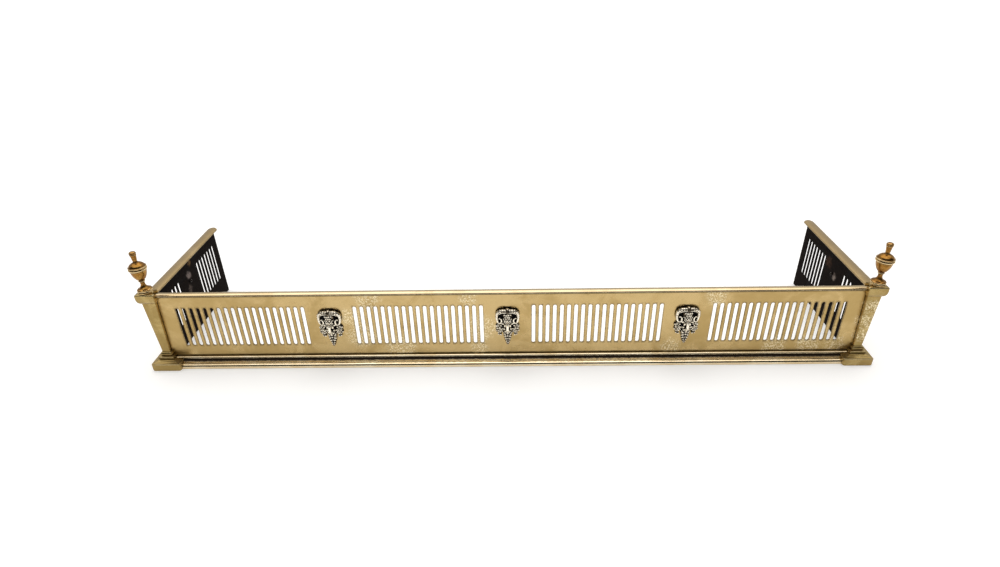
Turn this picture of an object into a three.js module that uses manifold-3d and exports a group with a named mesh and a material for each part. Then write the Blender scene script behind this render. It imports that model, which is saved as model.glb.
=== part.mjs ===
// A U-shaped hearth fender: a pierced front plate and two pierced returns in sheet brass, a moulded
// plinth along the foot, half-round rails on top, and a corner post under an urn finial at each front
// corner. Cast ram's masks are bolted on between the groups of slots.
// Millimetres. +X runs along the front, +Y towards the fire, +Z up, and z = 0 is the hearth.
// Inside the assembly y = 0 is the front plate's outer face. The outer group moves the whole fender
// so that its origin is the middle of its footprint.

import * as THREE from "three";
import { mergeVertices } from "three/addons/utils/BufferGeometryUtils.js";
import Module from "manifold-3d";

const wasm = await Module();
wasm.setup();

// ---------------------------------------------------------------- driving dimensions

const gap = 0.3; // clearance between touching pieces

// plates
const plateThickness = 2;
const plateFoot = 1;
const plateTop = 151.6;
const cornerX = 640.5; // outer face of each return, and end of the front plate
const returnEndY = 275;

// slots
const slotWidth = 6.4;
const slotLow = 41.5;
const slotHigh = 123;
const slotEndFacets = 3;
const frontGroups = 4;
const slotsPerFrontGroup = 19;
const frontSlotPitch = 12.7;
const frontGroupSpacing = 323;
const slotsPerReturnGroup = 7;
const returnSlotPitch = 12.6;
const returnLastSlotY = 252.5;
const returnGroupGap = 83.2; // from the last slot of one group to the first of the next

// top rails
const railFoot = 150;
const railHeight = 4.3;
const railEdge = 1.1; // upright edge under the crown
const railGrooveDepth = plateTop + gap - railFoot;
const frontRailWidth = 14;
const returnRailWidth = 20.4;
const frontRailHalfLength = 632;
const returnRailEndY = 283;
const railClearance = 1; // round the front rail's tip, where it lies in a notch of the cap

// plinth moulding
const plinthHeight = 18.8;
const plinthReach = 18.5;

// corner post, right-hand corner: a square column that tapers downwards
const shaftFoot = { x: [633.2, 647.4], y: [-6.2, 6.5] };
const shaftHead = { x: [629.5, 653.5], y: [-7, 8.5] };
const shaftFootZ = 32;
const shaftHeadZ = 137.7;
const baseBlock = { x: [612.5, 666.5], y: [-24, 24.5] };
const baseBlockTop = 14.5;
const baseTop = 18;
const baseNeckReach = 6.4; // beyond the shaft's foot
const capFoot = 138;
const capTop = 158.5;
const capReachOut = 6;
const capReachIn = 4;
const capReachFront = 5.5;

// tie rod through each post, and its finial
const rodX = 644.2;
const rodY = 0.8;
const rodRadius = 1.5;
const rodBore = 1.8;
const rodFoot = 2;
const rodHead = 170;
const rodBoreTop = 171;
const counterboreRadius = 4.2;
const counterboreDepth = 7.6;
const rodNutAcrossFlats = 5.5;
const rodNutFoot = 3;
const rodNutHeight = 2.6;
const washerRadius = 3.3;
const washerThickness = 0.8;
const turnedSides = 12;

// masks
const maskMiddleZ = 80;
const maskHalfWidth = 24;
const maskHalfHeight = 50;
const maskRelief = 30;
const maskStudRadius = 1.5;
const maskStudHole = 1.9;
const maskStudHeights = [24, -7]; // above and below the middle of the mask
const maskStudLength = 6.4;
const maskNutAcrossFlats = 6;
const maskNutHeight = 2.4;

// angle strips soldered inside the front corners
const angleThickness = 2;
const angleFrontLeg = 26;
const angleReturnLeg = 11;
const angleFoot = 22;
const angleHead = 146;

const overallFrontY = baseBlock.y[0];
const overallBackY = returnRailEndY;
const returnSlotSpan = (slotsPerReturnGroup - 1) * returnSlotPitch;
const returnMaskY = returnLastSlotY - returnSlotSpan - returnGroupGap / 2;

// ---------------------------------------------------------------- materials

function metal(color, roughness, metalness) {
  return new THREE.MeshStandardMaterial({ color, roughness, metalness });
}

const plateBrass = () => metal(0xc4a468, 0.42, 1);
const polishedBrass = () => metal(0xd2b06a, 0.24, 1);
const castBrass = () => metal(0xb98f45, 0.3, 1);
const darkSteel = () => metal(0x3b3733, 0.6, 0.9);

// ---------------------------------------------------------------- solids

// Turns a closed geometry into a solid that can be cut and joined.
function toSolid(geometry) {
  const bare = geometry.index ? geometry.toNonIndexed() : geometry.clone();
  bare.deleteAttribute("normal");
  bare.deleteAttribute("uv");
  const merged = mergeVertices(bare, 1e-4);
  return new wasm.Manifold(
    new wasm.Mesh({
      numProp: 3,
      vertProperties: merged.attributes.position.array,
      triVerts: new Uint32Array(merged.index.array),
    }),
  );
}

function toGeometry(solid) {
  const mesh = solid.getMesh();
  const geometry = new THREE.BufferGeometry();
  geometry.setAttribute("position", new THREE.BufferAttribute(mesh.vertProperties, 3));
  geometry.setIndex(new THREE.BufferAttribute(mesh.triVerts, 1));
  return geometry;
}

function piece(name, solid, material) {
  const geometry = solid.isBufferGeometry ? solid : toGeometry(solid);
  const flat = geometry.index ? geometry.toNonIndexed() : geometry;
  flat.computeVertexNormals();
  const mesh = new THREE.Mesh(flat, material);
  mesh.name = name;
  return mesh;
}

function joinAll(solids) {
  return solids.reduce((whole, next) => whole.add(next));
}

// Extrudes a drawn outline. alongY draws in x and z; alongX draws in y and z.
function extrude(shape, depth, curveSegments = 6) {
  return new THREE.ExtrudeGeometry(shape, { depth, curveSegments, bevelEnabled: false });
}

const alongYBasis = new THREE.Matrix4().makeBasis(
  new THREE.Vector3(1, 0, 0),
  new THREE.Vector3(0, 0, 1),
  new THREE.Vector3(0, -1, 0),
);
const alongXBasis = new THREE.Matrix4().makeBasis(
  new THREE.Vector3(0, 1, 0),
  new THREE.Vector3(0, 0, 1),
  new THREE.Vector3(1, 0, 0),
);

function extrudeAlongY(shape, yFrom, yTo, curveSegments) {
  return extrude(shape, yTo - yFrom, curveSegments)
    .applyMatrix4(alongYBasis)
    .translate(0, yTo, 0);
}

function extrudeAlongX(shape, xFrom, xTo, curveSegments) {
  return extrude(shape, xTo - xFrom, curveSegments)
    .applyMatrix4(alongXBasis)
    .translate(xFrom, 0, 0);
}

function extrudeUp(shape, zFrom, zTo, curveSegments) {
  return extrude(shape, zTo - zFrom, curveSegments).translate(0, 0, zFrom);
}

function rectangle(x0, y0, x1, y1) {
  const shape = new THREE.Shape();
  shape.moveTo(x0, y0);
  shape.lineTo(x1, y0);
  shape.lineTo(x1, y1);
  shape.lineTo(x0, y1);
  shape.closePath();
  return shape;
}

// A circle as two half arcs, so that each half gets the number of chords asked for.
function circle(path, x, y, radius) {
  path.absarc(x, y, radius, 0, Math.PI);
  path.absarc(x, y, radius, Math.PI, 2 * Math.PI);
  return path;
}

function block(x0, x1, y0, y1, z0, z1) {
  return extrudeUp(rectangle(x0, y0, x1, y1), z0, z1);
}

function uprightCylinder(radius, x, y, z0, z1, sides = 12) {
  return new THREE.CylinderGeometry(radius, radius, z1 - z0, sides)
    .rotateX(Math.PI / 2)
    .translate(x, y, (z0 + z1) / 2);
}

// Revolves a profile of radius against height about an upright axis.
function turned(profile, x, y, z) {
  return new THREE.LatheGeometry(profile, turnedSides)
    .rotateX(Math.PI / 2)
    .translate(x, y, z);
}

// Lofts a solid through rectangles: each level is { z, x: [low, high], y: [low, high] }.
function rectangleLoft(levels) {
  const positions = [];
  const index = [];
  for (const { z, x, y } of levels) {
    positions.push(x[0], y[0], z, x[1], y[0], z, x[1], y[1], z, x[0], y[1], z);
  }
  for (let level = 0; level + 1 < levels.length; level++) {
    for (let corner = 0; corner < 4; corner++) {
      const a = 4 * level + corner;
      const b = 4 * level + ((corner + 1) % 4);
      index.push(a, b, b + 4, a, b + 4, a + 4);
    }
  }
  const top = 4 * (levels.length - 1);
  index.push(0, 2, 1, 0, 3, 2);
  index.push(top, top + 1, top + 2, top, top + 2, top + 3);
  const geometry = new THREE.BufferGeometry();
  geometry.setAttribute("position", new THREE.Float32BufferAttribute(positions, 3));
  geometry.setIndex(index);
  return geometry;
}

// Lofts round sections of changing radius along a smooth curve, closed by a point at each end.
function taperedTube(points, radii, steps, sides) {
  const curve = new THREE.CatmullRomCurve3(points.map((p) => new THREE.Vector3(...p)));
  const frames = curve.computeFrenetFrames(steps, false);
  const positions = [];
  const index = [];
  for (let step = 0; step <= steps; step++) {
    const along = step / steps;
    const centre = curve.getPointAt(along);
    const place = along * (radii.length - 1);
    const lower = Math.min(Math.floor(place), radii.length - 2);
    const radius = THREE.MathUtils.lerp(radii[lower], radii[lower + 1], place - lower);
    for (let side = 0; side < sides; side++) {
      const angle = (2 * Math.PI * side) / sides;
      const vertex = centre
        .clone()
        .addScaledVector(frames.normals[step], radius * Math.cos(angle))
        .addScaledVector(frames.binormals[step], radius * Math.sin(angle));
      positions.push(vertex.x, vertex.y, vertex.z);
    }
  }
  const firstTip = (steps + 1) * sides;
  const start = curve.getPointAt(0).addScaledVector(frames.tangents[0], -0.5 * radii[0]);
  const end = curve.getPointAt(1).addScaledVector(frames.tangents[steps], 0.5 * radii.at(-1));
  positions.push(start.x, start.y, start.z, end.x, end.y, end.z);
  for (let side = 0; side < sides; side++) {
    const next = (side + 1) % sides;
    for (let step = 0; step < steps; step++) {
      const a = step * sides + side;
      const b = step * sides + next;
      index.push(a, b, b + sides, a, b + sides, a + sides);
    }
    index.push(firstTip, next, side);
    index.push(firstTip + 1, steps * sides + side, steps * sides + next);
  }
  const geometry = new THREE.BufferGeometry();
  geometry.setAttribute("position", new THREE.Float32BufferAttribute(positions, 3));
  geometry.setIndex(index);
  return geometry;
}

function ellipsoid(centre, radii, aroundSides = 8, upSides = 6) {
  return new THREE.SphereGeometry(1, aroundSides, upSides)
    .scale(...radii)
    .translate(...centre);
}

// ---------------------------------------------------------------- pierced plates

// A round-ended upright slot; each end is a half circle in slotEndFacets chords.
function slot(at) {
  const half = slotWidth / 2;
  const points = [];
  for (const [centreZ, start] of [[slotHigh - half, 0], [slotLow + half, Math.PI]]) {
    for (let i = 0; i <= slotEndFacets; i++) {
      const angle = start + (Math.PI * i) / slotEndFacets;
      points.push(new THREE.Vector2(at + half * Math.cos(angle), centreZ + half * Math.sin(angle)));
    }
  }
  return new THREE.Path(points);
}

function studHoles(at) {
  return maskStudHeights.map((height) => circle(new THREE.Path(), at, maskMiddleZ + height, maskStudHole));
}

function slotGroup(middle, count, pitch) {
  return Array.from({ length: count }, (_, i) => slot(middle + (i - (count - 1) / 2) * pitch));
}

const frontMaskX = [-1, 0, 1].map((place) => place * frontGroupSpacing);

function frontPlate() {
  const shape = rectangle(-cornerX, plateFoot, cornerX, plateTop);
  for (let group = 0; group < frontGroups; group++) {
    const middle = (group - (frontGroups - 1) / 2) * frontGroupSpacing;
    shape.holes.push(...slotGroup(middle, slotsPerFrontGroup, frontSlotPitch));
  }
  for (const x of frontMaskX) shape.holes.push(...studHoles(x));
  return extrudeAlongY(shape, 0, plateThickness, 2);
}

function returnPlate() {
  const shape = rectangle(plateThickness + gap, plateFoot, returnEndY, plateTop);
  const farMiddle = returnLastSlotY - returnSlotSpan / 2;
  const nearMiddle = farMiddle - returnSlotSpan - returnGroupGap;
  for (const middle of [farMiddle, nearMiddle]) {
    shape.holes.push(...slotGroup(middle, slotsPerReturnGroup, returnSlotPitch));
  }
  shape.holes.push(...studHoles(returnMaskY));
  return extrudeAlongX(shape, cornerX - plateThickness, cornerX, 2);
}

// ---------------------------------------------------------------- top rails

// Half-round strip, flat underneath, with a groove that sits over the plate's top edge.
function railSection(width) {
  const half = width / 2;
  const grooveHalf = plateThickness / 2 + gap;
  const shape = new THREE.Shape();
  shape.moveTo(-half, 0);
  shape.lineTo(-grooveHalf, 0);
  shape.lineTo(-grooveHalf, railGrooveDepth);
  shape.lineTo(grooveHalf, railGrooveDepth);
  shape.lineTo(grooveHalf, 0);
  shape.lineTo(half, 0);
  shape.lineTo(half, railEdge);
  shape.absellipse(0, railEdge, half, railHeight - railEdge, 0, Math.PI, false, 0);
  shape.closePath();
  return shape;
}

// A rail's outline in plan, its ends rounded where asked.
function railPlan(half, from, to, roundStart) {
  const plan = new THREE.Shape();
  plan.moveTo(to - half, half);
  if (roundStart) {
    plan.lineTo(from + half, half);
    plan.absarc(from + half, 0, half, Math.PI / 2, 1.5 * Math.PI);
  } else {
    plan.lineTo(from, half);
    plan.lineTo(from, -half);
  }
  plan.lineTo(to - half, -half);
  plan.absarc(to - half, 0, half, -Math.PI / 2, Math.PI / 2);
  return plan;
}

// Rail from end to end on the x axis.
function rail(width, from, to, roundStart) {
  const plan = railPlan(width / 2, from, to, roundStart);
  const strip = extrudeAlongX(railSection(width), from, to, 5);
  const outline = extrudeUp(plan, -1, railHeight + 1, 4);
  return toSolid(strip).intersect(toSolid(outline));
}

// ---------------------------------------------------------------- plinth moulding

// Section of reach from the plate against height: ovolo foot, fillet, cavetto, fillet and top bead.
function plinthSection(place) {
  const shape = new THREE.Shape();
  const at = (reach, z) => [place(reach), z];
  shape.moveTo(...at(gap, 0));
  shape.lineTo(...at(plinthReach - 0.5, 0));
  shape.lineTo(...at(plinthReach, 0.8));
  shape.lineTo(...at(plinthReach, 2.2));
  shape.quadraticCurveTo(...at(plinthReach, 7.6), ...at(13.2, 8.6));
  shape.lineTo(...at(12.4, 8.6));
  shape.lineTo(...at(12.4, 9.8));
  shape.quadraticCurveTo(...at(5.4, 10), ...at(4.4, 14.8));
  shape.lineTo(...at(4.4, 15.4));
  shape.quadraticCurveTo(...at(6.6, 17), ...at(4.2, 18.5));
  shape.lineTo(...at(3.4, plinthHeight));
  shape.lineTo(...at(gap, plinthHeight));
  shape.closePath();
  return shape;
}

// ---------------------------------------------------------------- corner post

// The corner where the plates meet, which every casting of the post wraps round.
function plateCorner(zTop) {
  const margin = 5;
  const [innerX] = baseBlock.x;
  const [, backY] = baseBlock.y;
  return toSolid(block(innerX - margin, cornerX + gap, -gap, backY + margin, -1, zTop));
}

// A rectangle with every side moved out by the same amount.
function grown({ x, y }, by) {
  return { x: [x[0] - by, x[1] + by], y: [y[0] - by, y[1] + by] };
}

// The base block with two fillets and a hollow slope up to the neck. k runs from 0 at the neck
// to 1 at the block's faces; grow adds clearance all round.
function baseLoft(grow = 0) {
  const profile = new THREE.Path();
  profile.moveTo(0.97, 0);
  profile.lineTo(1, 1);
  profile.lineTo(1, baseBlockTop - 1.2);
  profile.lineTo(0.95, baseBlockTop);
  profile.lineTo(0.86, baseBlockTop + 0.1);
  profile.lineTo(0.84, baseBlockTop + 0.8);
  profile.quadraticCurveTo(0.62, 15.4, 0.5, 16.1);
  profile.lineTo(0.48, 16.8);
  profile.quadraticCurveTo(0.25, 17, 0.08, baseTop);
  const neck = grown(shaftFoot, baseNeckReach);
  const mix = (axis, end, k) => THREE.MathUtils.lerp(neck[axis][end], baseBlock[axis][end], k);
  return rectangleLoft(
    profile.getPoints(4).map(({ x: k, y: z }, i, all) => ({
      z: z + (i === 0 ? -grow : i === all.length - 1 ? grow : 0),
      x: [mix("x", 0, k) - grow, mix("x", 1, k) + grow],
      y: [mix("y", 0, k) - grow, mix("y", 1, k) + grow],
    })),
  );
}

// Two square rolls, the lower one wider, with a quirk between them; grow adds clearance.
function collarLoft(grow = 0) {
  const profile = new THREE.Path();
  profile.moveTo(5.8, baseTop + gap);
  profile.lineTo(6.4, 19);
  profile.quadraticCurveTo(8.2, 21.3, 5.6, 23.4);
  profile.lineTo(2.4, 23.8);
  profile.lineTo(2.4, 24.6);
  profile.quadraticCurveTo(4.6, 28, 1.6, 31);
  profile.lineTo(0.6, shaftFootZ - gap);
  return rectangleLoft(
    profile.getPoints(3).map(({ x: reach, y: z }, i) => ({
      z: i === 0 ? z - grow : z,
      ...grown(shaftFoot, reach + grow),
    })),
  );
}

function shaftLoft() {
  return rectangleLoft([
    { z: shaftFootZ, ...shaftFoot },
    { z: shaftHeadZ, ...shaftHead },
  ]);
}

// The cap swells over the outer and front faces, and a little less over the inner one.
function capLoft() {
  const profile = new THREE.Path();
  profile.moveTo(0.06, capFoot);
  profile.lineTo(0.14, capFoot + 0.6);
  profile.quadraticCurveTo(0.76, 140.6, 0.94, 147);
  profile.lineTo(1, 150.6);
  profile.lineTo(1, 155.6);
  profile.lineTo(0.9, 157.8);
  profile.lineTo(0.76, capTop);
  const { x, y } = shaftHead;
  return rectangleLoft(
    profile.getPoints(4).map(({ x: k, y: z }) => ({
      z,
      x: [x[0] - k * capReachIn, x[1] + k * capReachOut],
      y: [y[0] - k * capReachFront, y[1]],
    })),
  );
}

function withBore(solid, z0, z1) {
  return solid.subtract(toSolid(uprightCylinder(rodBore, rodX, rodY, z0 - 1, z1 + 1)));
}

function smooth(path, points) {
  path.splineThru(points.map(([r, z]) => new THREE.Vector2(r, z)));
}

function straight(path, points) {
  for (const [r, z] of points) path.lineTo(r, z);
}

// Heights of the finial are above the cap's top.
function footRing() {
  const path = new THREE.Path();
  path.moveTo(rodBore, 0);
  straight(path, [[12.2, 0], [12.9, 1.2], [12.9, 2.6], [12, 3.6], [rodBore, 3.6], [rodBore, 0]]);
  return path.getPoints(1);
}

function urn() {
  const path = new THREE.Path();
  const bore = rodBoreTop - capTop - gap;
  path.moveTo(0, bore);
  straight(path, [[rodBore, bore], [rodBore, 3.9], [11.6, 3.9], [12.6, 5.4], [11.8, 7]]);
  smooth(path, [[8.2, 9], [5, 12.4], [3.7, 16.6], [4.3, 21.4]]);
  straight(path, [[5.4, 22.2], [5.4, 23.4], [4.8, 24]]);
  smooth(path, [[8.8, 29], [12, 36.4], [13.8, 44.4]]);
  straight(path, [[13.6, 44.9], [15.1, 45.7], [15.3, 47.9], [14.5, 49.2]]);
  straight(path, [[10.8, 49.2], [10.8, 45.4], [0, 45.4]]);
  return path.getPoints(2);
}

function urnLid() {
  const path = new THREE.Path();
  path.moveTo(0, 45.7);
  straight(path, [[10.4, 45.7], [10.4, 49.5], [14.6, 49.5], [15, 50.6], [14.2, 52]]);
  smooth(path, [[10.2, 55.8], [5.2, 58.8], [3.5, 61.4]]);
  straight(path, [[4.8, 62.8], [4.7, 64], [4, 64.8]]);
  smooth(path, [[4.6, 69.6], [5.9, 74.8], [4.3, 78.8], [0, 80]]);
  return path.getPoints(2);
}

function hexagonNut(acrossFlats, hole) {
  const shape = new THREE.Shape();
  const corner = acrossFlats / Math.sqrt(3);
  for (let i = 0; i < 6; i++) {
    const angle = (Math.PI / 3) * i;
    if (i === 0) shape.moveTo(corner, 0);
    else shape.lineTo(corner * Math.cos(angle), corner * Math.sin(angle));
  }
  shape.closePath();
  shape.holes.push(circle(new THREE.Path(), 0, 0, hole));
  return shape;
}

// ---------------------------------------------------------------- ram's mask

// Drawn face on: u to the right, v up from the mask's middle, w out from the plate.
function maskOutline() {
  const right = [
    [8, 34], [16, 33], [20.6, 27], [16.8, 7], [21.5, 1.5],
    [20, -8], [14.5, -16.5], [8, -13], [6, -22], [2.4, -40.5],
  ];
  const left = right.map(([u, v]) => [-u, v]).reverse();
  const shape = new THREE.Shape();
  shape.moveTo(...right[0]);
  for (const point of [...right.slice(1), ...left]) shape.lineTo(...point);
  shape.closePath();
  return shape;
}

function maskSide(side) {
  const mirror = (points) => points.map(([u, v, w]) => [side * u, v, w]);
  const hornPath = mirror([
    [2.5, 36.5, 5.5], [9, 37, 8], [15.5, 34, 7.5], [18.2, 28, 4.5], [15.6, 22.5, 4.5],
    [13.4, 16.5, 7.5], [16.6, 12.4, 8.5], [19.6, 16, 7], [18.6, 21, 6],
  ]);
  const horn = taperedTube(hornPath, [3.6, 4.4, 4.2, 3.6, 3, 2.6, 2.2, 1.7, 1.2], 9, 5);
  const earPath = mirror([[1.5, 6.5, 6.5], [8.5, 9, 6.5], [12.6, 12.4, 6]]);
  const ear = taperedTube(earPath, [1.4, 2.4, 0.7], 2, 4);
  const fruits = mirror([[16.6, -2.8, 3.4], [14, -10.4, 2.8]]);
  const swag = fruits.map((centre, i) => ellipsoid(centre, [5 - 0.7 * i, 5.4, 3.8], 6, 4));
  return [horn, ear, ...swag];
}

function mask() {
  const back = extrudeUp(maskOutline(), gap, 2);
  const skull = ellipsoid([0, 26.5, 2], [8.4, 14, 8.6], 8, 5);
  const muzzlePath = [[0, 20, 5], [0, 10, 9.6], [0, 2, 11.6], [0, -5, 10]];
  const muzzle = taperedTube(muzzlePath, [6.6, 5, 3.4, 4.2], 3, 6);
  const huskPath = [[0, -4, 6], [0, -13, 5], [0, -19.5, 3], [0, -26, 3], [0, -41, 1.6]];
  const husk = taperedTube(huskPath, [2.4, 3.8, 2.4, 4.4, 1.4], 5, 5);
  const studs = maskStudHeights.map((v) =>
    uprightCylinder(maskStudRadius, 0, v, -maskStudLength, 1.5, 6),
  );
  const forms = [back, skull, muzzle, husk, ...maskSide(-1), ...maskSide(1)];
  const inFront = toSolid(
    block(-maskHalfWidth, maskHalfWidth, -maskHalfHeight, maskHalfHeight, gap, maskRelief),
  );
  return joinAll([joinAll(forms.map(toSolid)).intersect(inFront), ...studs.map(toSolid)]);
}

// ---------------------------------------------------------------- assembly

const fender = new THREE.Group();
const assembly = new THREE.Group();
assembly.position.y = -(overallFrontY + overallBackY) / 2;
fender.add(assembly);

assembly.add(piece("front_plate", toSolid(frontPlate()), plateBrass()));

const frontRail = rail(frontRailWidth, -frontRailHalfLength, frontRailHalfLength, true)
  .translate([0, plateThickness / 2, railFoot]);
assembly.add(piece("front_top_rail", frontRail, polishedBrass()));

const rightBaseCutter = toSolid(baseLoft(gap)).add(toSolid(collarLoft(gap)));
const leftBaseCutter = rightBaseCutter.mirror([1, 0, 0]);
const frontMouldingBlank = toSolid(
  extrudeAlongX(plinthSection((reach) => -reach), -cornerX, cornerX, 4),
);
const frontMoulding = frontMouldingBlank.subtract(rightBaseCutter).subtract(leftBaseCutter);
assembly.add(piece("front_plinth_moulding", frontMoulding, polishedBrass()));

const maskSolid = mask();
const maskNut = hexagonNut(maskNutAcrossFlats, maskStudRadius + 0.25);

// Adds a mask and its two nuts to a group whose z axis points out of the plate.
function addMask(holder, name) {
  holder.add(piece(name, maskSolid, castBrass()));
  maskStudHeights.forEach((height, i) => {
    const nutName = name + (i === 0 ? "_upper_nut" : "_lower_nut");
    const foot = -plateThickness - gap - maskNutHeight;
    const geometry = extrude(maskNut, maskNutHeight, 2).translate(0, height, foot);
    holder.add(piece(nutName, toSolid(geometry), darkSteel()));
  });
}

["left", "centre", "right"].forEach((word, i) => {
  const holder = new THREE.Group();
  holder.position.set(frontMaskX[i], 0, maskMiddleZ);
  holder.rotation.x = Math.PI / 2;
  addMask(holder, `front_${word}_mask`);
  assembly.add(holder);
});

// Everything at the right-hand end; the left-hand end is its mirror image.
function cornerAndReturn(side) {
  const group = new THREE.Group();
  const corner = plateCorner(plateTop + gap);

  group.add(piece(`${side}_return_plate`, toSolid(returnPlate()), plateBrass()));

  const railBlank = rail(returnRailWidth, shaftHead.y[1] + gap, returnRailEndY, false);
  const returnRail = railBlank
    .rotate([0, 0, 90])
    .translate([cornerX - plateThickness / 2, 0, railFoot]);
  group.add(piece(`${side}_top_rail`, returnRail, polishedBrass()));

  const section = plinthSection((reach) => cornerX + reach);
  const mouldingBlank = toSolid(extrudeAlongY(section, plateThickness, returnEndY, 4));
  const moulding = mouldingBlank.subtract(rightBaseCutter);
  group.add(piece(`${side}_plinth_moulding`, moulding, polishedBrass()));

  const counterbore = uprightCylinder(counterboreRadius, rodX, rodY, -1, counterboreDepth, 16);
  const base = withBore(toSolid(baseLoft()).subtract(corner), 0, baseTop)
    .subtract(toSolid(counterbore));
  group.add(piece(`${side}_post_base`, base, castBrass()));

  const collar = withBore(toSolid(collarLoft()).subtract(corner), baseTop, shaftFootZ);
  group.add(piece(`${side}_post_collar`, collar, castBrass()));

  const shaft = withBore(toSolid(shaftLoft()).subtract(corner), shaftFootZ, shaftHeadZ);
  group.add(piece(`${side}_post_shaft`, shaft, castBrass()));

  const notchPlan = railPlan(
    frontRailWidth / 2 + railClearance, 0, frontRailHalfLength + railClearance, false,
  );
  const railNotch = extrudeUp(notchPlan, railFoot - railClearance, capTop + 1, 6)
    .translate(0, plateThickness / 2, 0);
  const capBlank = toSolid(capLoft()).subtract(corner).subtract(toSolid(railNotch));
  const cap = withBore(capBlank, capFoot, capTop);
  group.add(piece(`${side}_post_cap`, cap, castBrass()));

  const finialZ = capTop + gap;
  const finial = [
    ["finial_foot_ring", footRing()],
    ["finial_urn", urn()],
    ["finial_lid", urnLid()],
  ];
  for (const [name, profile] of finial) {
    const solid = toSolid(turned(profile, rodX, rodY, finialZ));
    group.add(piece(`${side}_${name}`, solid, polishedBrass()));
  }

  const rod = toSolid(uprightCylinder(rodRadius, rodX, rodY, rodFoot, rodHead));
  group.add(piece(`${side}_tie_rod`, rod, darkSteel()));

  const rodNut = hexagonNut(rodNutAcrossFlats, rodBore);
  const nutGeometry = extrude(rodNut, rodNutHeight, 3).translate(rodX, rodY, rodNutFoot);
  group.add(piece(`${side}_tie_rod_nut`, toSolid(nutGeometry), darkSteel()));

  const washer = circle(new THREE.Shape(), rodX, rodY, washerRadius);
  washer.holes.push(circle(new THREE.Path(), rodX, rodY, rodBore));
  const washerFoot = rodNutFoot + rodNutHeight + gap;
  const washerGeometry = extrudeUp(washer, washerFoot, washerFoot + washerThickness, 3);
  group.add(piece(`${side}_tie_rod_washer`, toSolid(washerGeometry), darkSteel()));

  const innerX = cornerX - plateThickness - gap;
  const innerY = plateThickness + gap;
  const angle = new THREE.Shape();
  angle.moveTo(innerX, innerY);
  straight(angle, [
    [innerX, innerY + angleReturnLeg],
    [innerX - angleThickness, innerY + angleReturnLeg],
    [innerX - angleThickness, innerY + angleThickness],
    [innerX - angleFrontLeg, innerY + angleThickness],
    [innerX - angleFrontLeg, innerY],
  ]);
  angle.closePath();
  const angleStrip = toSolid(extrudeUp(angle, angleFoot, angleHead));
  group.add(piece(`${side}_corner_angle`, angleStrip, darkSteel()));

  const holder = new THREE.Group();
  const facing = new THREE.Group();
  holder.position.set(cornerX, returnMaskY, maskMiddleZ);
  holder.rotation.z = Math.PI / 2;
  facing.rotation.x = Math.PI / 2;
  addMask(facing, `${side}_return_mask`);
  holder.add(facing);
  group.add(holder);
  return group;
}

const leftEnd = cornerAndReturn("left");
leftEnd.scale.x = -1;
assembly.add(leftEnd, cornerAndReturn("right"));

export default fender;
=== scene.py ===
# Pierced brass hearth fender: the finished surfaces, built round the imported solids.
# Shapes are worked out in millimetres from the front plate's outer face, then moved into the frame.

import math

import bmesh
import bpy
import numpy as np
from mathutils import Matrix, Vector


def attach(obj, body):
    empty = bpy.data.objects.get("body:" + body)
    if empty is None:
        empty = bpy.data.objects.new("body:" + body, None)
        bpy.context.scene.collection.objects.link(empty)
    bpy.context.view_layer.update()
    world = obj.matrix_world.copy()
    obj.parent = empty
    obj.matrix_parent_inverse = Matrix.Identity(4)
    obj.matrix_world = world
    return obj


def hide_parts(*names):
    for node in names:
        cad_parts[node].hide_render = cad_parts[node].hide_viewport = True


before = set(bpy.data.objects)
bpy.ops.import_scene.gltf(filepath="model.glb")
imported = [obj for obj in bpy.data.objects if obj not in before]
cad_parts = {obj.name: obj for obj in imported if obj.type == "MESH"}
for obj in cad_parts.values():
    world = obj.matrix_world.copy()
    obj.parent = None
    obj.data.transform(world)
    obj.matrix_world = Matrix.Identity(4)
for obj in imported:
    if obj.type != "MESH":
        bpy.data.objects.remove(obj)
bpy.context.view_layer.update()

depthShift = -129.5                 # mm, from the front plate's outer face to the footprint's middle
millimetre = 0.001                  # m
mergeDistance = 2e-6                # m


# Curve from start towards pull and on to end: (1-t)^2 start + 2t(1-t) pull + t^2 end.
def bend(start, pull, end, steps=10):
    t = np.linspace(0, 1, steps + 1)[1:, None]
    return (1 - t) ** 2 * np.array(start) + 2 * t * (1 - t) * np.array(pull) + t ** 2 * np.array(end)


# Smooth run through points: each span is the cubic whose end slopes are half the step
# between the neighbours on either side.
def smoothRun(points, steps=6):
    p = np.asarray(points, float)
    padded = np.vstack([p[:1], p, p[-1:]])
    a, b, c, d = (padded[i:len(p) - 1 + i, None] for i in range(4))
    t = np.linspace(0, 1, steps, endpoint=False)[None, :, None]
    squared, cubed = 2 * a - 5 * b + 4 * c - d, 3 * b - a - 3 * c + d
    curve = 0.5 * (2 * b + (c - a) * t + squared * t ** 2 + cubed * t ** 3)
    return np.vstack([curve.reshape(-1, p.shape[1]), p[-1:]])


# Cuts each straight part into equal lengths no longer than the step.
def subdivided(profile, step=0.6):
    p = np.asarray(profile, float)
    pieces = [np.linspace(a, b, max(1, math.ceil(np.linalg.norm(b - a) / step)), endpoint=False)
              for a, b in zip(p[:-1], p[1:])]
    return np.vstack(pieces + [p[-1:]])


# How hollow a profile is at each point: it is smoothed, and the distance that each point
# moved along the outward side is counted, so quirks come out near 1 and edges near -1.
def profileHollow(profile, passes=6, reach=0.3):
    p = smoothed = np.asarray(profile, float)
    for _ in range(passes):
        middle = 0.5 * smoothed[1:-1] + 0.25 * (smoothed[:-2] + smoothed[2:])
        smoothed = np.vstack([smoothed[:1], middle, smoothed[-1:]])
    along = np.gradient(p, axis=0)
    aside = np.stack([along[:, 1], -along[:, 0]], -1)
    aside /= np.maximum(np.linalg.norm(aside, axis=1, keepdims=True), 1e-9)
    return np.clip(((smoothed - p) * aside).sum(1) / reach, -1, 1)


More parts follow.
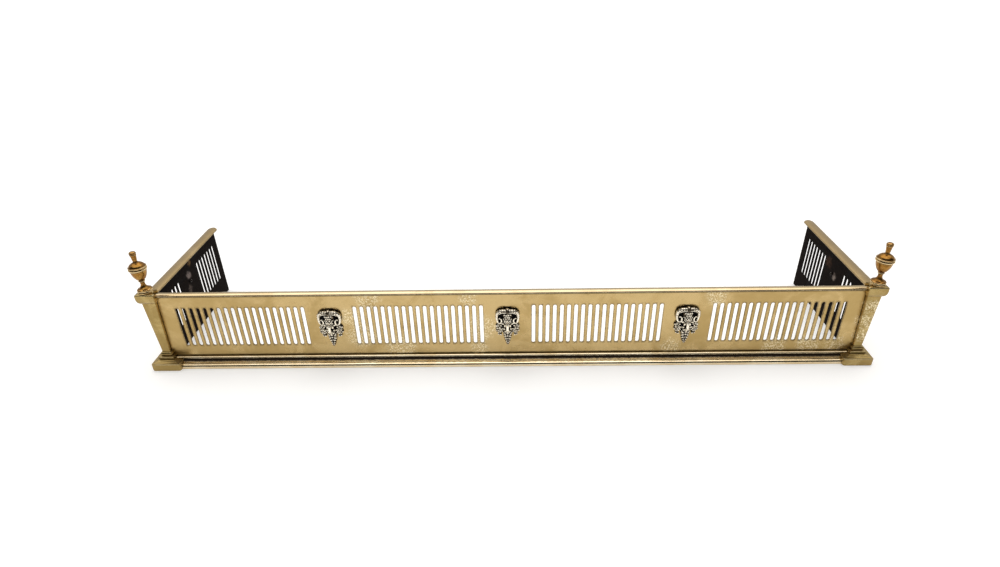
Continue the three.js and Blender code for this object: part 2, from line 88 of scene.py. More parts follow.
# Quads of a grid of points: each joins a point to its neighbours in the next column and the next row,
# and either way can close on itself.
def gridFaces(rows, columns, wrapRows=False, wrapColumns=False):
    r = np.arange(rows if wrapRows else rows - 1)[:, None]
    c = np.arange(columns if wrapColumns else columns - 1)[None, :]
    nextR, nextC = (r + 1) % rows, (c + 1) % columns
    corners = [r * columns + c, r * columns + nextC, nextR * columns + nextC, nextR * columns + c]
    return np.stack(corners, -1).reshape(-1, 4)


# A shell is a grid of points with its faces, a material number and how hollow each point is.
def gridShell(grid, wrapRows=False, wrapColumns=False, material=0, hollow=0.0):
    rows, columns = grid.shape[:2]
    return dict(points=grid.reshape(-1, 3), faces=gridFaces(rows, columns, wrapRows, wrapColumns).tolist(),
                material=material, hollow=np.broadcast_to(hollow, (rows, columns)).reshape(-1))


# Stacks the shells' points, and moves each shell's faces on by the number of points before it.
def joined(shells):
    starts = np.cumsum([0] + [len(s["points"]) for s in shells])
    faces = [[i + start for i in face] for s, start in zip(shells, starts) for face in s["faces"]]
    return np.vstack([s["points"] for s in shells]), faces


# Merges points nearer than the merge distance, drops faces without area unless told to keep them, and
# turns the faces outwards.
def weld(mesh, dissolve=True):
    work = bmesh.new()
    work.from_mesh(mesh)
    bmesh.ops.remove_doubles(work, verts=work.verts, dist=mergeDistance)
    if dissolve:
        bmesh.ops.dissolve_degenerate(work, edges=work.edges, dist=mergeDistance)
    bmesh.ops.recalc_face_normals(work, faces=work.faces)
    work.to_mesh(mesh)
    work.free()


# Makes one finished piece: joins and welds its shells, mirrors x for the left side, rounds its sharp
# edges where a width is given, and stands it in for the CAD nodes it replaces.
def makePiece(name, shells, materials, nodes, sharpAngle=38, edge=None, mirrored=False):
    points, faces = joined(shells)
    points += (0, depthShift, 0)
    points *= (-millimetre if mirrored else millimetre, millimetre, millimetre)
    mesh = bpy.data.meshes.new(name)
    mesh.from_pydata(points.tolist(), [], faces)
    materialNumbers = np.concatenate([np.full(len(s["faces"]), s["material"]) for s in shells])
    mesh.polygons.foreach_set("material_index", materialNumbers)
    hollow = np.concatenate([s["hollow"] for s in shells]).astype(np.float32)
    mesh.attributes.new("hollow", "FLOAT", "POINT").data.foreach_set("value", hollow)
    weld(mesh)
    mesh.shade_smooth()
    mesh.set_sharp_from_angle(angle=math.radians(sharpAngle))
    piece = bpy.data.objects.new(name, mesh)
    bpy.context.scene.collection.objects.link(piece)
    for material in materials:
        mesh.materials.append(material)
    if edge:
        rounding = piece.modifiers.new("edge", "BEVEL")
        rounding.width, rounding.segments = edge * millimetre, 2
        rounding.limit_method, rounding.angle_limit = "ANGLE", math.radians(sharpAngle)
        rounding.harden_normals = False
    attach(piece, "root")
    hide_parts(*nodes)


# Node group with number inputs (name and value) and number outputs, and the sockets at its two ends.
def newGroup(name, inputs, outputs):
    group = bpy.data.node_groups.new(name, "ShaderNodeTree")
    for socketName, value in inputs:
        socket = group.interface.new_socket(socketName, in_out="INPUT", socket_type="NodeSocketFloat")
        socket.default_value = value
    for socketName in outputs:
        group.interface.new_socket(socketName, in_out="OUTPUT", socket_type="NodeSocketFloat")
    return group, group.nodes.new("NodeGroupInput").outputs, group.nodes.new("NodeGroupOutput").inputs


# Adds a shader node: an input that is a socket is linked, and any other is set.
def addNode(tree, kind, inputs=None, **settings):
    node = tree.nodes.new("ShaderNode" + kind)
    for key, value in settings.items():
        setattr(node, key, value)
    for key, value in (inputs or {}).items():
        if isinstance(value, bpy.types.NodeSocket):
            tree.links.new(value, node.inputs[key])
        else:
            node.inputs[key].default_value = value
    return node


# Cloudy noise at a place: a sum of noises, each twice as fine and weaker by the roughness. The place
# is stretched first where a stretch is given.
def noiseAt(tree, place, scale, detail=4, roughness=0.55, stretch=None, distortion=0.0):
    if stretch:
        place = addNode(tree, "Mapping", {"Vector": place, "Scale": stretch}).outputs["Vector"]
    noise = addNode(tree, "TexNoise", {"Vector": place, "Scale": scale, "Detail": detail,
                                       "Roughness": roughness, "Distortion": distortion})
    return noise.outputs["Fac"]


# Smooth step: with s the share of the way from low to high, toLow + (toHigh - toLow) s^2 (3 - 2s).
def spread(tree, value, low, high, toLow=0.0, toHigh=1.0):
    return addNode(tree, "MapRange", {"Value": value, "From Min": low, "From Max": high, "To Min": toLow,
                                      "To Max": toHigh}, interpolation_type="SMOOTHSTEP").outputs["Result"]


# One operation of two numbers, a sum, difference, product or greater value, or the absolute value of one.
def mathOf(tree, operation, a, b=0.0):
    return addNode(tree, "Math", {0: a, 1: b}, operation=operation).outputs[0]


# Distance between the place and a fixed point.
def distanceTo(tree, place, point):
    return addNode(tree, "VectorMath", {0: place, 1: point}, operation="DISTANCE").outputs["Value"]


# Blend of two colours: (1 - share) first + share second.
def mixColour(tree, share, first, second):
    node = addNode(tree, "Mix", data_type="RGBA")
    for socket, value in zip((node.inputs[0], node.inputs[6], node.inputs[7]), (share, first, second)):
        if isinstance(value, bpy.types.NodeSocket):
            tree.links.new(value, socket)
        else:
            socket.default_value = value if isinstance(value, float) else (*value, 1)
    return node.outputs[2]


# Slow clouds, small spots and long streaks of tarnish: smooth steps of three noises. The clouds thicken
# towards the fender's ends, by a smooth step of the distance |x| from its middle.
def buildTarnish():
    group, given, result = newGroup("tarnish", [("Patch size", 22.0), ("Spot size", 260.0)],
                                    ["Cloud", "Spots", "Streaks"])
    place = addNode(group, "TexCoord").outputs["Object"]
    cloud = noiseAt(group, place, given["Patch size"], 5, 0.6, distortion=0.6)
    aside = mathOf(group, "ABSOLUTE", addNode(group, "SeparateXYZ", {"Vector": place}).outputs["X"])
    cloud = mathOf(group, "ADD", cloud, spread(group, aside, 0.15, 0.62, -0.05, 0.12))
    spots = noiseAt(group, place, given["Spot size"], 3, 0.7)
    streaks = noiseAt(group, place, 40.0, 4, 0.6, stretch=(0.25, 1.0, 3.0))
    group.links.new(spread(group, cloud, 0.36, 0.68), result["Cloud"])
    group.links.new(spread(group, spots, 0.5, 0.72), result["Spots"])
    group.links.new(spread(group, streaks, 0.35, 0.7), result["Streaks"])
    return group


# Polishing lines and soft dents less the pits, each noise times its own share, as one height.
def buildPolish():
    group, given, result = newGroup("polish lines", [("Lines", 0.3), ("Dents", 0.6), ("Pits", 0.1)],
                                    ["Height"])
    place = addNode(group, "TexCoord").outputs["Object"]
    lines = noiseAt(group, place, 900.0, 2, 0.5, stretch=(0.06, 0.5, 1.0))
    dents = noiseAt(group, place, 75.0, 3, 0.5)
    pits = spread(group, noiseAt(group, place, 700.0, 2, 0.6), 0.5, 0.75)
    height = mathOf(group, "MULTIPLY", lines, given["Lines"])
    height = mathOf(group, "ADD", height, mathOf(group, "MULTIPLY", dents, given["Dents"]))
    height = mathOf(group, "SUBTRACT", height, mathOf(group, "MULTIPLY", pits, given["Pits"]))
    group.links.new(height, result["Height"])
    return group


# Where dirt stays and hands polish, with painted shade in the hollows and painted highlights on the ridges:
# how hollow the surface is, plus noise about zero, is scaled from low to high for the dirt and shade, and
# its negative goes through a smooth step for the rubbed places and highlights.
def buildWearAndPaintedLight():
    group, given, result = newGroup("wearAndPaintedLight", [("Low", 0.15), ("High", 0.7)], ["Dirt", "RubbedAndHighlight"])
    hollow = addNode(group, "Attribute", attribute_name="hollow").outputs["Fac"]
    place = addNode(group, "TexCoord").outputs["Object"]
    uneven = mathOf(group, "SUBTRACT", noiseAt(group, place, 320.0), 0.5)
    broken = mathOf(group, "ADD", hollow, mathOf(group, "MULTIPLY", uneven, 0.7))
    dirtAndShade = addNode(group, "MapRange", {"Value": broken, "From Min": given["Low"], "From Max": given["High"]})
    rubbedAndHighlight = spread(group, mathOf(group, "MULTIPLY", broken, -1.0), 0.05, 0.6)
    group.links.new(dirtAndShade.outputs["Result"], result["Dirt"])
    group.links.new(rubbedAndHighlight, result["RubbedAndHighlight"])
    return group


# Grime along the front plate's joints beside the posts, and painted shadow along the plinth's top and under
# the rail: it fades over a millimetre or two from the posts' slanting edge |x| = edge - slant z, from the
# plinth's top and from the rail's underside.
def buildJoints():
    group, given, result = newGroup("joint grime and painted shadow", [("Post edge", 0.6343), ("Slant", 0.035),
                                                    ("Front", -0.1292), ("Low", 0.0188), ("High", 0.1468)],
                                    ["Grime"])
    place = addNode(group, "SeparateXYZ", {"Vector": addNode(group, "TexCoord").outputs["Object"]}).outputs
    lean = mathOf(group, "MULTIPLY", place["Z"], given["Slant"])
    edge = mathOf(group, "SUBTRACT", given["Post edge"], lean)
    fromEdge = mathOf(group, "SUBTRACT", edge, mathOf(group, "ABSOLUTE", place["X"]))
    beside = spread(group, fromEdge, 0.0001, 0.0011, 1.0, 0.0)
    inFront = spread(group, mathOf(group, "SUBTRACT", place["Y"], given["Front"]), 0.0, 0.0006, 1.0, 0.0)
    low = spread(group, mathOf(group, "SUBTRACT", place["Z"], given["Low"]), 0.0003, 0.0022, 0.85, 0.0)
    high = spread(group, mathOf(group, "SUBTRACT", given["High"], place["Z"]), 0.0002, 0.0024, 0.8, 0.0)
    atPost = mathOf(group, "MULTIPLY", beside, inFront)
    most = mathOf(group, "MAXIMUM", atPost, mathOf(group, "MAXIMUM", low, high))
    group.links.new(most, result["Grime"])
    return group


# Bright pebbled places, each x, z and reach in metres on the front plate's outer face.
plateFrontY = -0.1295
pebblePlaces = [(-0.047, 0.075, 0.05), (-0.052, 0.03, 0.03), (-0.07, 0.14, 0.03), (-0.27, 0.06, 0.05),
                (-0.25, 0.142, 0.045), (-0.2, 0.03, 0.05), (-0.285, 0.1, 0.035), (0.37, 0.14, 0.035),
                (0.3, 0.03, 0.035), (0.49, 0.03, 0.04), (0.55, 0.03, 0.04), (0.6, 0.032, 0.035),
                (0.644, 0.115, 0.03), (0.643, 0.085, 0.032), (0.641, 0.055, 0.025)]


# The pebbles: the greatest of soft discs round the given points, times ragged noise, times fine grain.
def buildPebbles():
    group, given, result = newGroup("pebbles", [("Grain", 380.0)], ["Patch"])
    place = addNode(group, "TexCoord").outputs["Object"]
    total = 0.0
    for x, z, reach in pebblePlaces:
        disc = spread(group, distanceTo(group, place, (x, plateFrontY, z)), 0.0, reach, 1.0, 0.0)
        total = mathOf(group, "MAXIMUM", total, disc)
    ragged = mathOf(group, "MULTIPLY", noiseAt(group, place, 60.0, 4, 0.6), 1.7)
    patch = spread(group, mathOf(group, "MULTIPLY", total, ragged), 0.18, 0.6)
    grain = spread(group, noiseAt(group, place, given["Grain"], 3, 0.6), 0.44, 0.6)
    group.links.new(mathOf(group, "MULTIPLY", patch, grain), result["Patch"])
    return group


tarnish, polish, wearAndPaintedLight = buildTarnish(), buildPolish(), buildWearAndPaintedLight()
jointGrimeAndShadow, pebbles = buildJoints(), buildPebbles()


# A material with its node tree, its shader and the tarnish at the given patch and spot sizes.
def newMaterial(name, patchSize, spotSize):
    material = bpy.data.materials.new(name)
    material.use_nodes = True
    tree = material.node_tree
    patches = addNode(tree, "Group", node_tree=tarnish)
    patches.inputs["Patch size"].default_value = patchSize
    patches.inputs["Spot size"].default_value = spotSize
    return material, tree, tree.nodes["Principled BSDF"].inputs, patches.outputs


# Leans the surface by a height, with the bump's strength and its depth in metres.
def addBump(tree, shader, height, strength, depth):
    bump = addNode(tree, "Bump", {"Height": height, "Strength": strength, "Distance": depth})
    tree.links.new(bump.outputs["Normal"], shader["Normal"])


brassFinish = dict(pebbleShare=0.8, pebbleHeight=1.2, dirtAndShadeDulls=0.25, dirtAndShadeHides=0.7, bumpDepth=0.0006,
                   gloss=0.1)


# Brass: clean metal blended to warmer in the clouds, brown in the spots, pale where rubbed, where highlights
# are painted and where pebbled, and dark where dirt stays and where shade is painted. Clouds, streaks and
# the dirt and shade add up to the roughness, and the dirt and shade hide the metal.
def brassMaterial(name, look):
    material, tree, shader, patches = newMaterial(name, look["patchSize"], look["spotSize"])
    worn = addNode(tree, "Group", node_tree=wearAndPaintedLight)
    worn.inputs["Low"].default_value, worn.inputs["High"].default_value = look["dirtAndShadeFrom"], look["dirtAndShadeTo"]
    relief = addNode(tree, "Group", node_tree=polish)
    for socketName, value in look["relief"].items():
        relief.inputs[socketName].default_value = value
    height = relief.outputs["Height"]
    colour = mixColour(tree, patches["Cloud"], look["clean"], look["warm"])
    spotted = mathOf(tree, "MULTIPLY", patches["Spots"], look["spotShare"])
    colour = mixColour(tree, spotted, colour, look["brown"])
    rubbedAndHighlight = mathOf(tree, "MULTIPLY", worn.outputs["RubbedAndHighlight"], look["rubAndHighlightShare"])
    colour = mixColour(tree, rubbedAndHighlight, colour, look["rubbedAndHighlight"])
    dirtAndShade = mathOf(tree, "MULTIPLY", worn.outputs["Dirt"], look["dirtAndShadeShare"])
    if look["pebbled"]:
        patch = addNode(tree, "Group", node_tree=pebbles).outputs["Patch"]
        pale = mathOf(tree, "MULTIPLY", patch, brassFinish["pebbleShare"])
        colour = mixColour(tree, pale, colour, look["pebble"])
        height = mathOf(tree, "ADD", height, mathOf(tree, "MULTIPLY", patch, brassFinish["pebbleHeight"]))
    # joint grime beside the posts, and painted shadow under the rail and over the plinth
    if look["jointed"]:
        dirtAndShade = mathOf(tree, "MAXIMUM", dirtAndShade, addNode(tree, "Group", node_tree=jointGrimeAndShadow).outputs["Grime"])
    tree.links.new(mixColour(tree, dirtAndShade, colour, look["dirtAndShade"]), shader["Base Color"])
    rough = spread(tree, patches["Cloud"], 0, 1, look["smooth"], look["dull"])
    rough = mathOf(tree, "ADD", rough, mathOf(tree, "MULTIPLY", patches["Streaks"], look["streakDull"]))
    rough = mathOf(tree, "ADD", rough, mathOf(tree, "MULTIPLY", dirtAndShade, brassFinish["dirtAndShadeDulls"]))
    tree.links.new(rough, shader["Roughness"])
    metal = mathOf(tree, "SUBTRACT", 1.0, mathOf(tree, "MULTIPLY", dirtAndShade, brassFinish["dirtAndShadeHides"]))
    tree.links.new(metal, shader["Metallic"])
    shader["Specular IOR Level"].default_value = brassFinish["gloss"]
    addBump(tree, shader, height, look["bump"], brassFinish["bumpDepth"])
    return material


sheetLook = dict(clean=(0.56, 0.41, 0.19), warm=(0.45, 0.315, 0.125), brown=(0.36, 0.17, 0.05),
                 rubbedAndHighlight=(0.8, 0.66, 0.4), pebble=(0.86, 0.74, 0.48), dirtAndShade=(0.02, 0.012, 0.006),
                 patchSize=18.0, spotSize=420.0, spotShare=0.12, rubAndHighlightShare=0.3, dirtAndShadeShare=0.9, dirtAndShadeFrom=0.2,
                 dirtAndShadeTo=0.8, smooth=0.2, dull=0.32, streakDull=0.05, bump=0.35, pebbled=True, jointed=True,
                 relief={"Lines": 0.25, "Dents": 0.8, "Pits": 0.1})
barLook = dict(sheetLook, clean=(0.62, 0.50, 0.31), warm=(0.54, 0.41, 0.23), smooth=0.09, dull=0.17,
               bump=0.25, pebbled=False, jointed=False, spotShare=0.1,
               relief={"Lines": 0.3, "Dents": 0.5, "Pits": 0.05})
returnBarLook = dict(barLook, clean=(0.58, 0.43, 0.23), warm=(0.46, 0.33, 0.16), dirtAndShadeFrom=0.1)
# The mouldings take the full share of dirt and shade, which deepens the cove's painted dark reflection.
plinthLook = dict(barLook, clean=(0.84, 0.73, 0.52), warm=(0.74, 0.59, 0.36), dirtAndShadeShare=1.0, dirtAndShadeTo=0.65)
castLook = dict(sheetLook, clean=(0.46, 0.345, 0.145), warm=(0.32, 0.225, 0.08), smooth=0.16, dull=0.3,
                patchSize=30.0, jointed=False, spotShare=0.25, rubAndHighlightShare=0.6, bump=0.4,
                relief={"Lines": 0.1, "Dents": 0.7, "Pits": 0.3})
# Finials: dark lines in their hollows, partly patina and partly painted shade, and pale rubbed ridges that
# are also painted highlights.
finialLook = dict(castLook, clean=(0.45, 0.26, 0.06), warm=(0.28, 0.13, 0.025), rubbedAndHighlight=(0.95, 0.78, 0.45),
                  pebbled=False, smooth=0.08, dull=0.16, bump=0.3, dirtAndShadeFrom=-0.08, dirtAndShadeTo=0.5,
                  relief={"Lines": 0.1, "Dents": 0.5, "Pits": 0.1})
# Masks: near-black in their hollows and low ground, partly patina and partly painted shade, and near-white
# on their ridges, partly rubbed brass and partly painted highlights.
maskLook = dict(castLook, clean=(0.33, 0.245, 0.14), warm=(0.17, 0.115, 0.07), rubbedAndHighlight=(1.0, 0.93, 0.78),
                dirtAndShade=(0.004, 0.003, 0.003), pebbled=False, rubAndHighlightShare=1.0, dirtAndShadeShare=1.0, dirtAndShadeFrom=-0.26,
                dirtAndShadeTo=-0.02, bump=0.25, relief={"Lines": 0.0, "Dents": 0.3, "Pits": 0.4})

sheetBrass = brassMaterial("sheetBrass", sheetLook)
barBrass = brassMaterial("barBrass", barLook)
plinthBrass = brassMaterial("plinthBrass", plinthLook)
returnBarBrass = brassMaterial("returnBarBrass", returnBarLook)
castBrass = brassMaterial("castBrass", castLook)
finialBrass = brassMaterial("finialBrass", finialLook)
maskBrass = brassMaterial("maskBrass", maskLook)

sootLook = dict(black=(0.003, 0.0022, 0.002), grey=(0.010, 0.007, 0.006), rust=(0.05, 0.03, 0.016),
                patchSize=30.0, spotSize=150.0, rustShare=0.15, smooth=0.5, dull=0.75, gloss=0.02, bump=0.6,
                bumpDepth=0.0008)
# Rubbed marks on the sooted sides: place, reach and colour.
sootMarks = [((-0.6385, 0.0196, 0.1374), 0.016, (0.17, 0.10, 0.045)),
             ((-0.6385, 0.0064, 0.1157), 0.022, (0.2, 0.16, 0.145)),
             ((-0.6385, 0.0, 0.09), 0.02, (0.09, 0.07, 0.06)),
             ((0.6385, -0.0034, 0.1017), 0.018, (0.26, 0.21, 0.18)),
             ((0.6385, 0.0276, 0.1184), 0.03, (0.05, 0.026, 0.016))]


# Soot on the plates' backs: black blended to grey in the clouds and rust in the spots, with a mark
# wherever a soft disc times ragged noise is high, as where the mask fixings were soldered.
def buildSoot():
    material, tree, shader, patches = newMaterial("sootedBack", sootLook["patchSize"], sootLook["spotSize"])
    colour = mixColour(tree, patches["Cloud"], sootLook["black"], sootLook["grey"])
    rust = mathOf(tree, "MULTIPLY", patches["Spots"], sootLook["rustShare"])
    colour = mixColour(tree, rust, colour, sootLook["rust"])
    place = addNode(tree, "TexCoord").outputs["Object"]
    for point, reach, tint in sootMarks:
        disc = spread(tree, distanceTo(tree, place, point), 0.0, reach, 1.0, 0.0)
        ragged = mathOf(tree, "MULTIPLY", noiseAt(tree, place, 150.0, 5, 0.7), 2.0)
        mark = spread(tree, mathOf(tree, "MULTIPLY", disc, ragged), 0.45, 1.1)
        colour = mixColour(tree, mark, colour, tint)
    tree.links.new(colour, shader["Base Color"])
    rough = spread(tree, patches["Cloud"], 0, 1, sootLook["smooth"], sootLook["dull"])
    tree.links.new(rough, shader["Roughness"])
    shader["Specular IOR Level"].default_value = sootLook["gloss"]
    height = addNode(tree, "Group", node_tree=polish).outputs["Height"]
    addBump(tree, shader, height, sootLook["bump"], sootLook["bumpDepth"])
    return material


ironLook = dict(light=(0.05, 0.045, 0.04), dark=(0.025, 0.02, 0.018), rust=(0.12, 0.05, 0.02),
                patchSize=120.0, spotSize=700.0, rustShare=0.6, smooth=0.4, dull=0.75, metal=0.8, bump=0.5,
                bumpDepth=0.0004)


# Dull iron of the nuts, rods and corner angles: light blended to dark in the clouds and rust in the spots.
def buildIron():
    material, tree, shader, patches = newMaterial("dullIron", ironLook["patchSize"], ironLook["spotSize"])
    colour = mixColour(tree, patches["Cloud"], ironLook["light"], ironLook["dark"])
    rust = mathOf(tree, "MULTIPLY", patches["Spots"], ironLook["rustShare"])
    tree.links.new(mixColour(tree, rust, colour, ironLook["rust"]), shader["Base Color"])
    rough = spread(tree, patches["Spots"], 0, 1, ironLook["smooth"], ironLook["dull"])
    tree.links.new(rough, shader["Roughness"])
    shader["Metallic"].default_value = ironLook["metal"]
    height = addNode(tree, "Group", node_tree=polish).outputs["Height"]
    addBump(tree, shader, height, ironLook["bump"], ironLook["bumpDepth"])
    return material


sootedBack, dullIron = buildSoot(), buildIron()
print("materials made")

plate = dict(thickness=2.0, foot=1.0, top=151.6, cornerX=640.5, returnGap=0.3, returnEnd=275.0,
             slotWidth=6.4, slotLow=41.5, slotHigh=123.0, cellLow=36.0, cellHigh=128.5, seamLow=18.0,
             seamHigh=140.0, blankStep=12, arcSteps=8, rimDirt=0.5, edge=0.3)
frontSlots = dict(middles=(-484.5, -161.5, 161.5, 484.5), count=19, pitch=12.7)
returnSlots = dict(middles=(55.9, 214.7), count=7, pitch=12.6)


# A plate with slots, in its own plane: along, up, and w out from its outer face. Each slot is a ring of
# quads between the round-ended outline and its rectangular cell; at each angle of the end arcs
# the ring's outer point lies on the cell's edge in the same direction.
def piercedPlate(slots, startAlong, endAlong, lift, wall=0):
    half, cellHalf, back = plate["slotWidth"] / 2, slots["pitch"] / 2, -plate["thickness"]
    topCentre, lowCentre = plate["slotHigh"] - half, plate["slotLow"] + half
    turn = np.linspace(0, math.pi, plate["arcSteps"] + 1)
    arc = np.stack([np.cos(turn), np.sin(turn)], -1)
    square = arc / np.abs(arc).max(1, keepdims=True)
    rim = np.vstack([arc * half + (0, topCentre), -arc * half + (0, lowCentre)])
    cell = np.vstack([square * (cellHalf, plate["cellHigh"] - topCentre) + (0, topCentre),
                      -square * (cellHalf, lowCentre - plate["cellLow"]) + (0, lowCentre)])
    fromMiddle = (np.arange(slots["count"]) - (slots["count"] - 1) / 2) * slots["pitch"]
    centres = (np.array(slots["middles"])[:, None] + fromMiddle).ravel()
    loops = [(cell, 0), (rim, 0), (rim, back), (cell, back)]
    shells = []
    for centre in centres:
        grid = np.stack([np.column_stack([loop + (centre, 0), np.full(len(loop), w)]) for loop, w in loops])
        for row, material in ((0, 0), (1, wall), (2, 1)):
            dirtAndShade = np.array([0, plate["rimDirt"], plate["rimDirt"], 0])[row:row + 2, None]
            shells.append(gridShell(grid[row:row + 2], wrapColumns=True, material=material, hollow=dirtAndShade))
    # the blank fields round the cells keep the cells' points on every shared edge
    onSide = np.abs(np.abs(cell[:, 0]) - cellHalf) < 1e-6
    onTop = np.abs(cell[:, 1] - plate["cellHigh"]) < 1e-6
    rowsUp = np.unique(np.round(cell[onSide][:, 1], 6))
    cellAcross = np.unique(np.round(cell[onTop][:, 0], 6))
    groupHalf = slots["count"] * cellHalf
    blanks, at = [], startAlong
    for middle in slots["middles"]:
        blanks.append((at, middle - groupHalf))
        at = middle + groupHalf
    blanks.append((at, endAlong))
    blankSteps = [np.linspace(a, b, max(2, int((b - a) / plate["blankStep"]) + 1)) for a, b in blanks]
    allAcross = np.concatenate(blankSteps + [centre + cellAcross for centre in centres])
    allAcross = np.unique(np.round(allAcross, 4))
    allAcross = allAcross[np.concatenate([[True], np.diff(allAcross) > 1e-3])]
    below = np.array([plate["foot"], plate["seamLow"], plate["cellLow"]])
    above = np.array([plate["cellHigh"], plate["seamHigh"], plate["top"]])
    for across, up in [(allAcross, below), (allAcross, above)] + [(steps, rowsUp) for steps in blankSteps]:
        for w, material in ((0, 0), (back, 1)):
            a, z = np.meshgrid(across, up)
            shells.append(gridShell(np.stack([a, z, np.full(a.shape, w)], -1), material=material))
    # the narrow faces all round
    depth, everyUp = np.array([0, back]), np.concatenate([below[:2], rowsUp, above[1:]])
    for z in (plate["foot"], plate["top"]):
        a, w = np.meshgrid(allAcross, depth)
        shells.append(gridShell(np.stack([a, np.full(a.shape, z), w], -1)))
    for along in (startAlong, endAlong):
        z, w = np.meshgrid(everyUp, depth)
        shells.append(gridShell(np.stack([np.full(z.shape, along), z, w], -1)))
    return [dict(shell, points=lift(shell["points"])) for shell in shells]


# From along, up and w to the front plate's place: x = along, y = -w.
def liftFront(p):
    return np.stack([p[..., 0], -p[..., 2], p[..., 1]], -1)


# From along, up and w to the right return's place: x = the corner plus w, y = along.
def liftReturn(p):
    return np.stack([plate["cornerX"] + p[..., 2], p[..., 0], p[..., 1]], -1)


sides = (("left", True), ("right", False))
makePiece("piercedFront", piercedPlate(frontSlots, -plate["cornerX"], plate["cornerX"], liftFront),
          [sheetBrass, sootedBack], ["front_plate"], edge=plate["edge"])
returnShells = piercedPlate(returnSlots, plate["thickness"] + plate["returnGap"], plate["returnEnd"],
                            liftReturn, wall=1)
for side, mirrored in sides:
    makePiece(side + "PiercedReturn", returnShells, [sheetBrass, sootedBack],
              [side + "_return_plate"], edge=plate["edge"], mirrored=mirrored)
print("plates made")

rail = dict(foot=150.0, height=4.3, edge=1.1, chamferWide=0.3, chamferHigh=0.15, grooveHalf=1.3,
            grooveDepth=1.9, frontWidth=14.0, returnWidth=20.4, frontEnd=632.0, returnStart=8.8,
            returnEnd=283.0, noseFrom=0.06, noseSteps=12, noseClear=4, straightSteps=60, crownSteps=20,
            tipLowest=0.35, tipHeart=1.0, lowEdgeShadeHeights=(0.6, 1.7), lowEdgeShadeShares=(0.7, 0))


# A half-round strip carried along a line. Near a rounded end, with s = 1 - (distance from the end) / half,
# the half width is that of a circle in plan, half * sqrt(1 - s^2), and the crown sinks as (1 - s^5)^0.35.
def railShell(width, start, end, roundStart):
    half = width / 2
    angle = np.linspace(0, math.pi, rail["crownSteps"] + 1)
    rise = rail["height"] - rail["edge"]
    crown = np.stack([half * np.cos(angle), rail["edge"] + rise * np.sin(angle)], -1)
    groove, depth = rail["grooveHalf"], rail["grooveDepth"]
    wide, high = rail["chamferWide"], rail["chamferHigh"]
    flat = [(-half, high), (-half + wide, 0), (-groove, 0), (-groove, depth), (groove, depth), (groove, 0),
            (half - wide, 0), (half, high)]
    section = np.vstack([crown, flat])
    section = np.vstack([section, section[:1]])
    nose = half * (1 - np.cos(np.linspace(rail["noseFrom"], math.pi / 2, rail["noseSteps"])))
    clear = half + rail["noseClear"]
    x = np.concatenate([start + nose if roundStart else np.array([start]),
                        np.linspace(start + clear, end - clear, rail["straightSteps"]), (end - nose)[::-1]])
    fromEnd = np.minimum(end - x, (x - start) if roundStart else np.inf)
    s = np.clip(1 - fromEnd / half, 0, 1)
    widthShare, heightShare = np.sqrt(1 - s ** 2 + 1e-9), np.clip((1 - s ** 5) ** 0.35, rail["tipLowest"], 1)
    grid = np.stack([np.broadcast_to(x[:, None], (len(x), len(section))),
                     section[None, :, 0] * widthShare[:, None],
                     section[None, :, 1] * heightShare[:, None]], -1)
    first, last = grid[:1].copy(), grid[-1:].copy()
    for tip in (first, last):
        tip[..., 1:] = 0, rail["tipHeart"]
    # painted shade: the rail's lower edge is darkened where it sits on the plate
    edges = np.interp(section[:, 1], rail["lowEdgeShadeHeights"], rail["lowEdgeShadeShares"])
    return gridShell(np.vstack([first, grid, last]), hollow=edges[None])


strip = railShell(rail["frontWidth"], -rail["frontEnd"], rail["frontEnd"], True)
strip["points"] += (0, plate["thickness"] / 2, rail["foot"])
makePiece("frontRail", [strip], [barBrass], ["front_top_rail"], sharpAngle=50)
strip = railShell(rail["returnWidth"], rail["returnStart"], rail["returnEnd"], False)
x, y, z = strip["points"].T
strip["points"] = np.stack([y + plate["cornerX"] - plate["thickness"] / 2, x, z + rail["foot"]], -1)
for side, mirrored in sides:
    makePiece(side + "Rail", [strip], [returnBarBrass], [side + "_top_rail"],
              sharpAngle=50, mirrored=mirrored)
print("rails made")

# Spans are x from, x to, y from, y to.
post = dict(foot=(633.2, 647.4, -6.2, 6.5), head=(629.5, 653.5, -7.0, 8.5),
            block=(612.5, 666.5, -24.0, 24.5), neckReach=6.4, capReach=(-4.0, 6.0, -5.5, 0.0),
            shaftFoot=32, shaftHeight=105.7, shaftSteps=36, rod=(644.2, 0.8), heart=(644.0, -3.4),
            bore=3.2, boreDepth=7.6, notch=(640.8, -0.3), notchTop=151.9, tipCentre=(625.0, 1.0),
            tipRadius=8.0, tipFoot=149.0, rimInset=1.1, cornerSteps=5, innerSteps=14, blockTop=14.5,
            blockCorner=4.0, neckCorner=0.6, collarCorner=0.8, shaftCorner=0.6, capCorner=0.7,
            innerDirt=0.45, rimRub=0.6)
outward = np.array((-1.0, 1.0, -1.0, 1.0))


# The side of a level towards the plates: straight round the plates' corner, or, beside the front rail's
# tip, along the arc of its notch. Its last point stands a little way out from the plate.
def innerSide(z, x0, y1, tip):
    nx, ny = post["notch"]
    (tx, ty), r = post["tipCentre"], post["tipRadius"]
    steps, inset = post["innerSteps"], post["rimInset"]
    if not tip:
        straight = np.column_stack([np.linspace(nx, x0, steps - 2), np.full(steps - 2, ny)])
        return np.vstack([[(nx, y1)], straight, [(x0, ny - inset)]])
    startY = y1 if z > post["notchTop"] else ny
    angle = np.linspace(math.asin((startY - ty) / r), -math.acos((x0 - tx) / r), steps - 3)
    arc = np.column_stack([tx + r * np.cos(angle), ty + r * np.sin(angle)])
    arc = np.vstack([arc, arc[-1:] - (0, inset)])
    return np.vstack([arc[:1], arc[:1], arc] if z > post["notchTop"] else [[(nx, y1)], [(nx, ny)], arc])


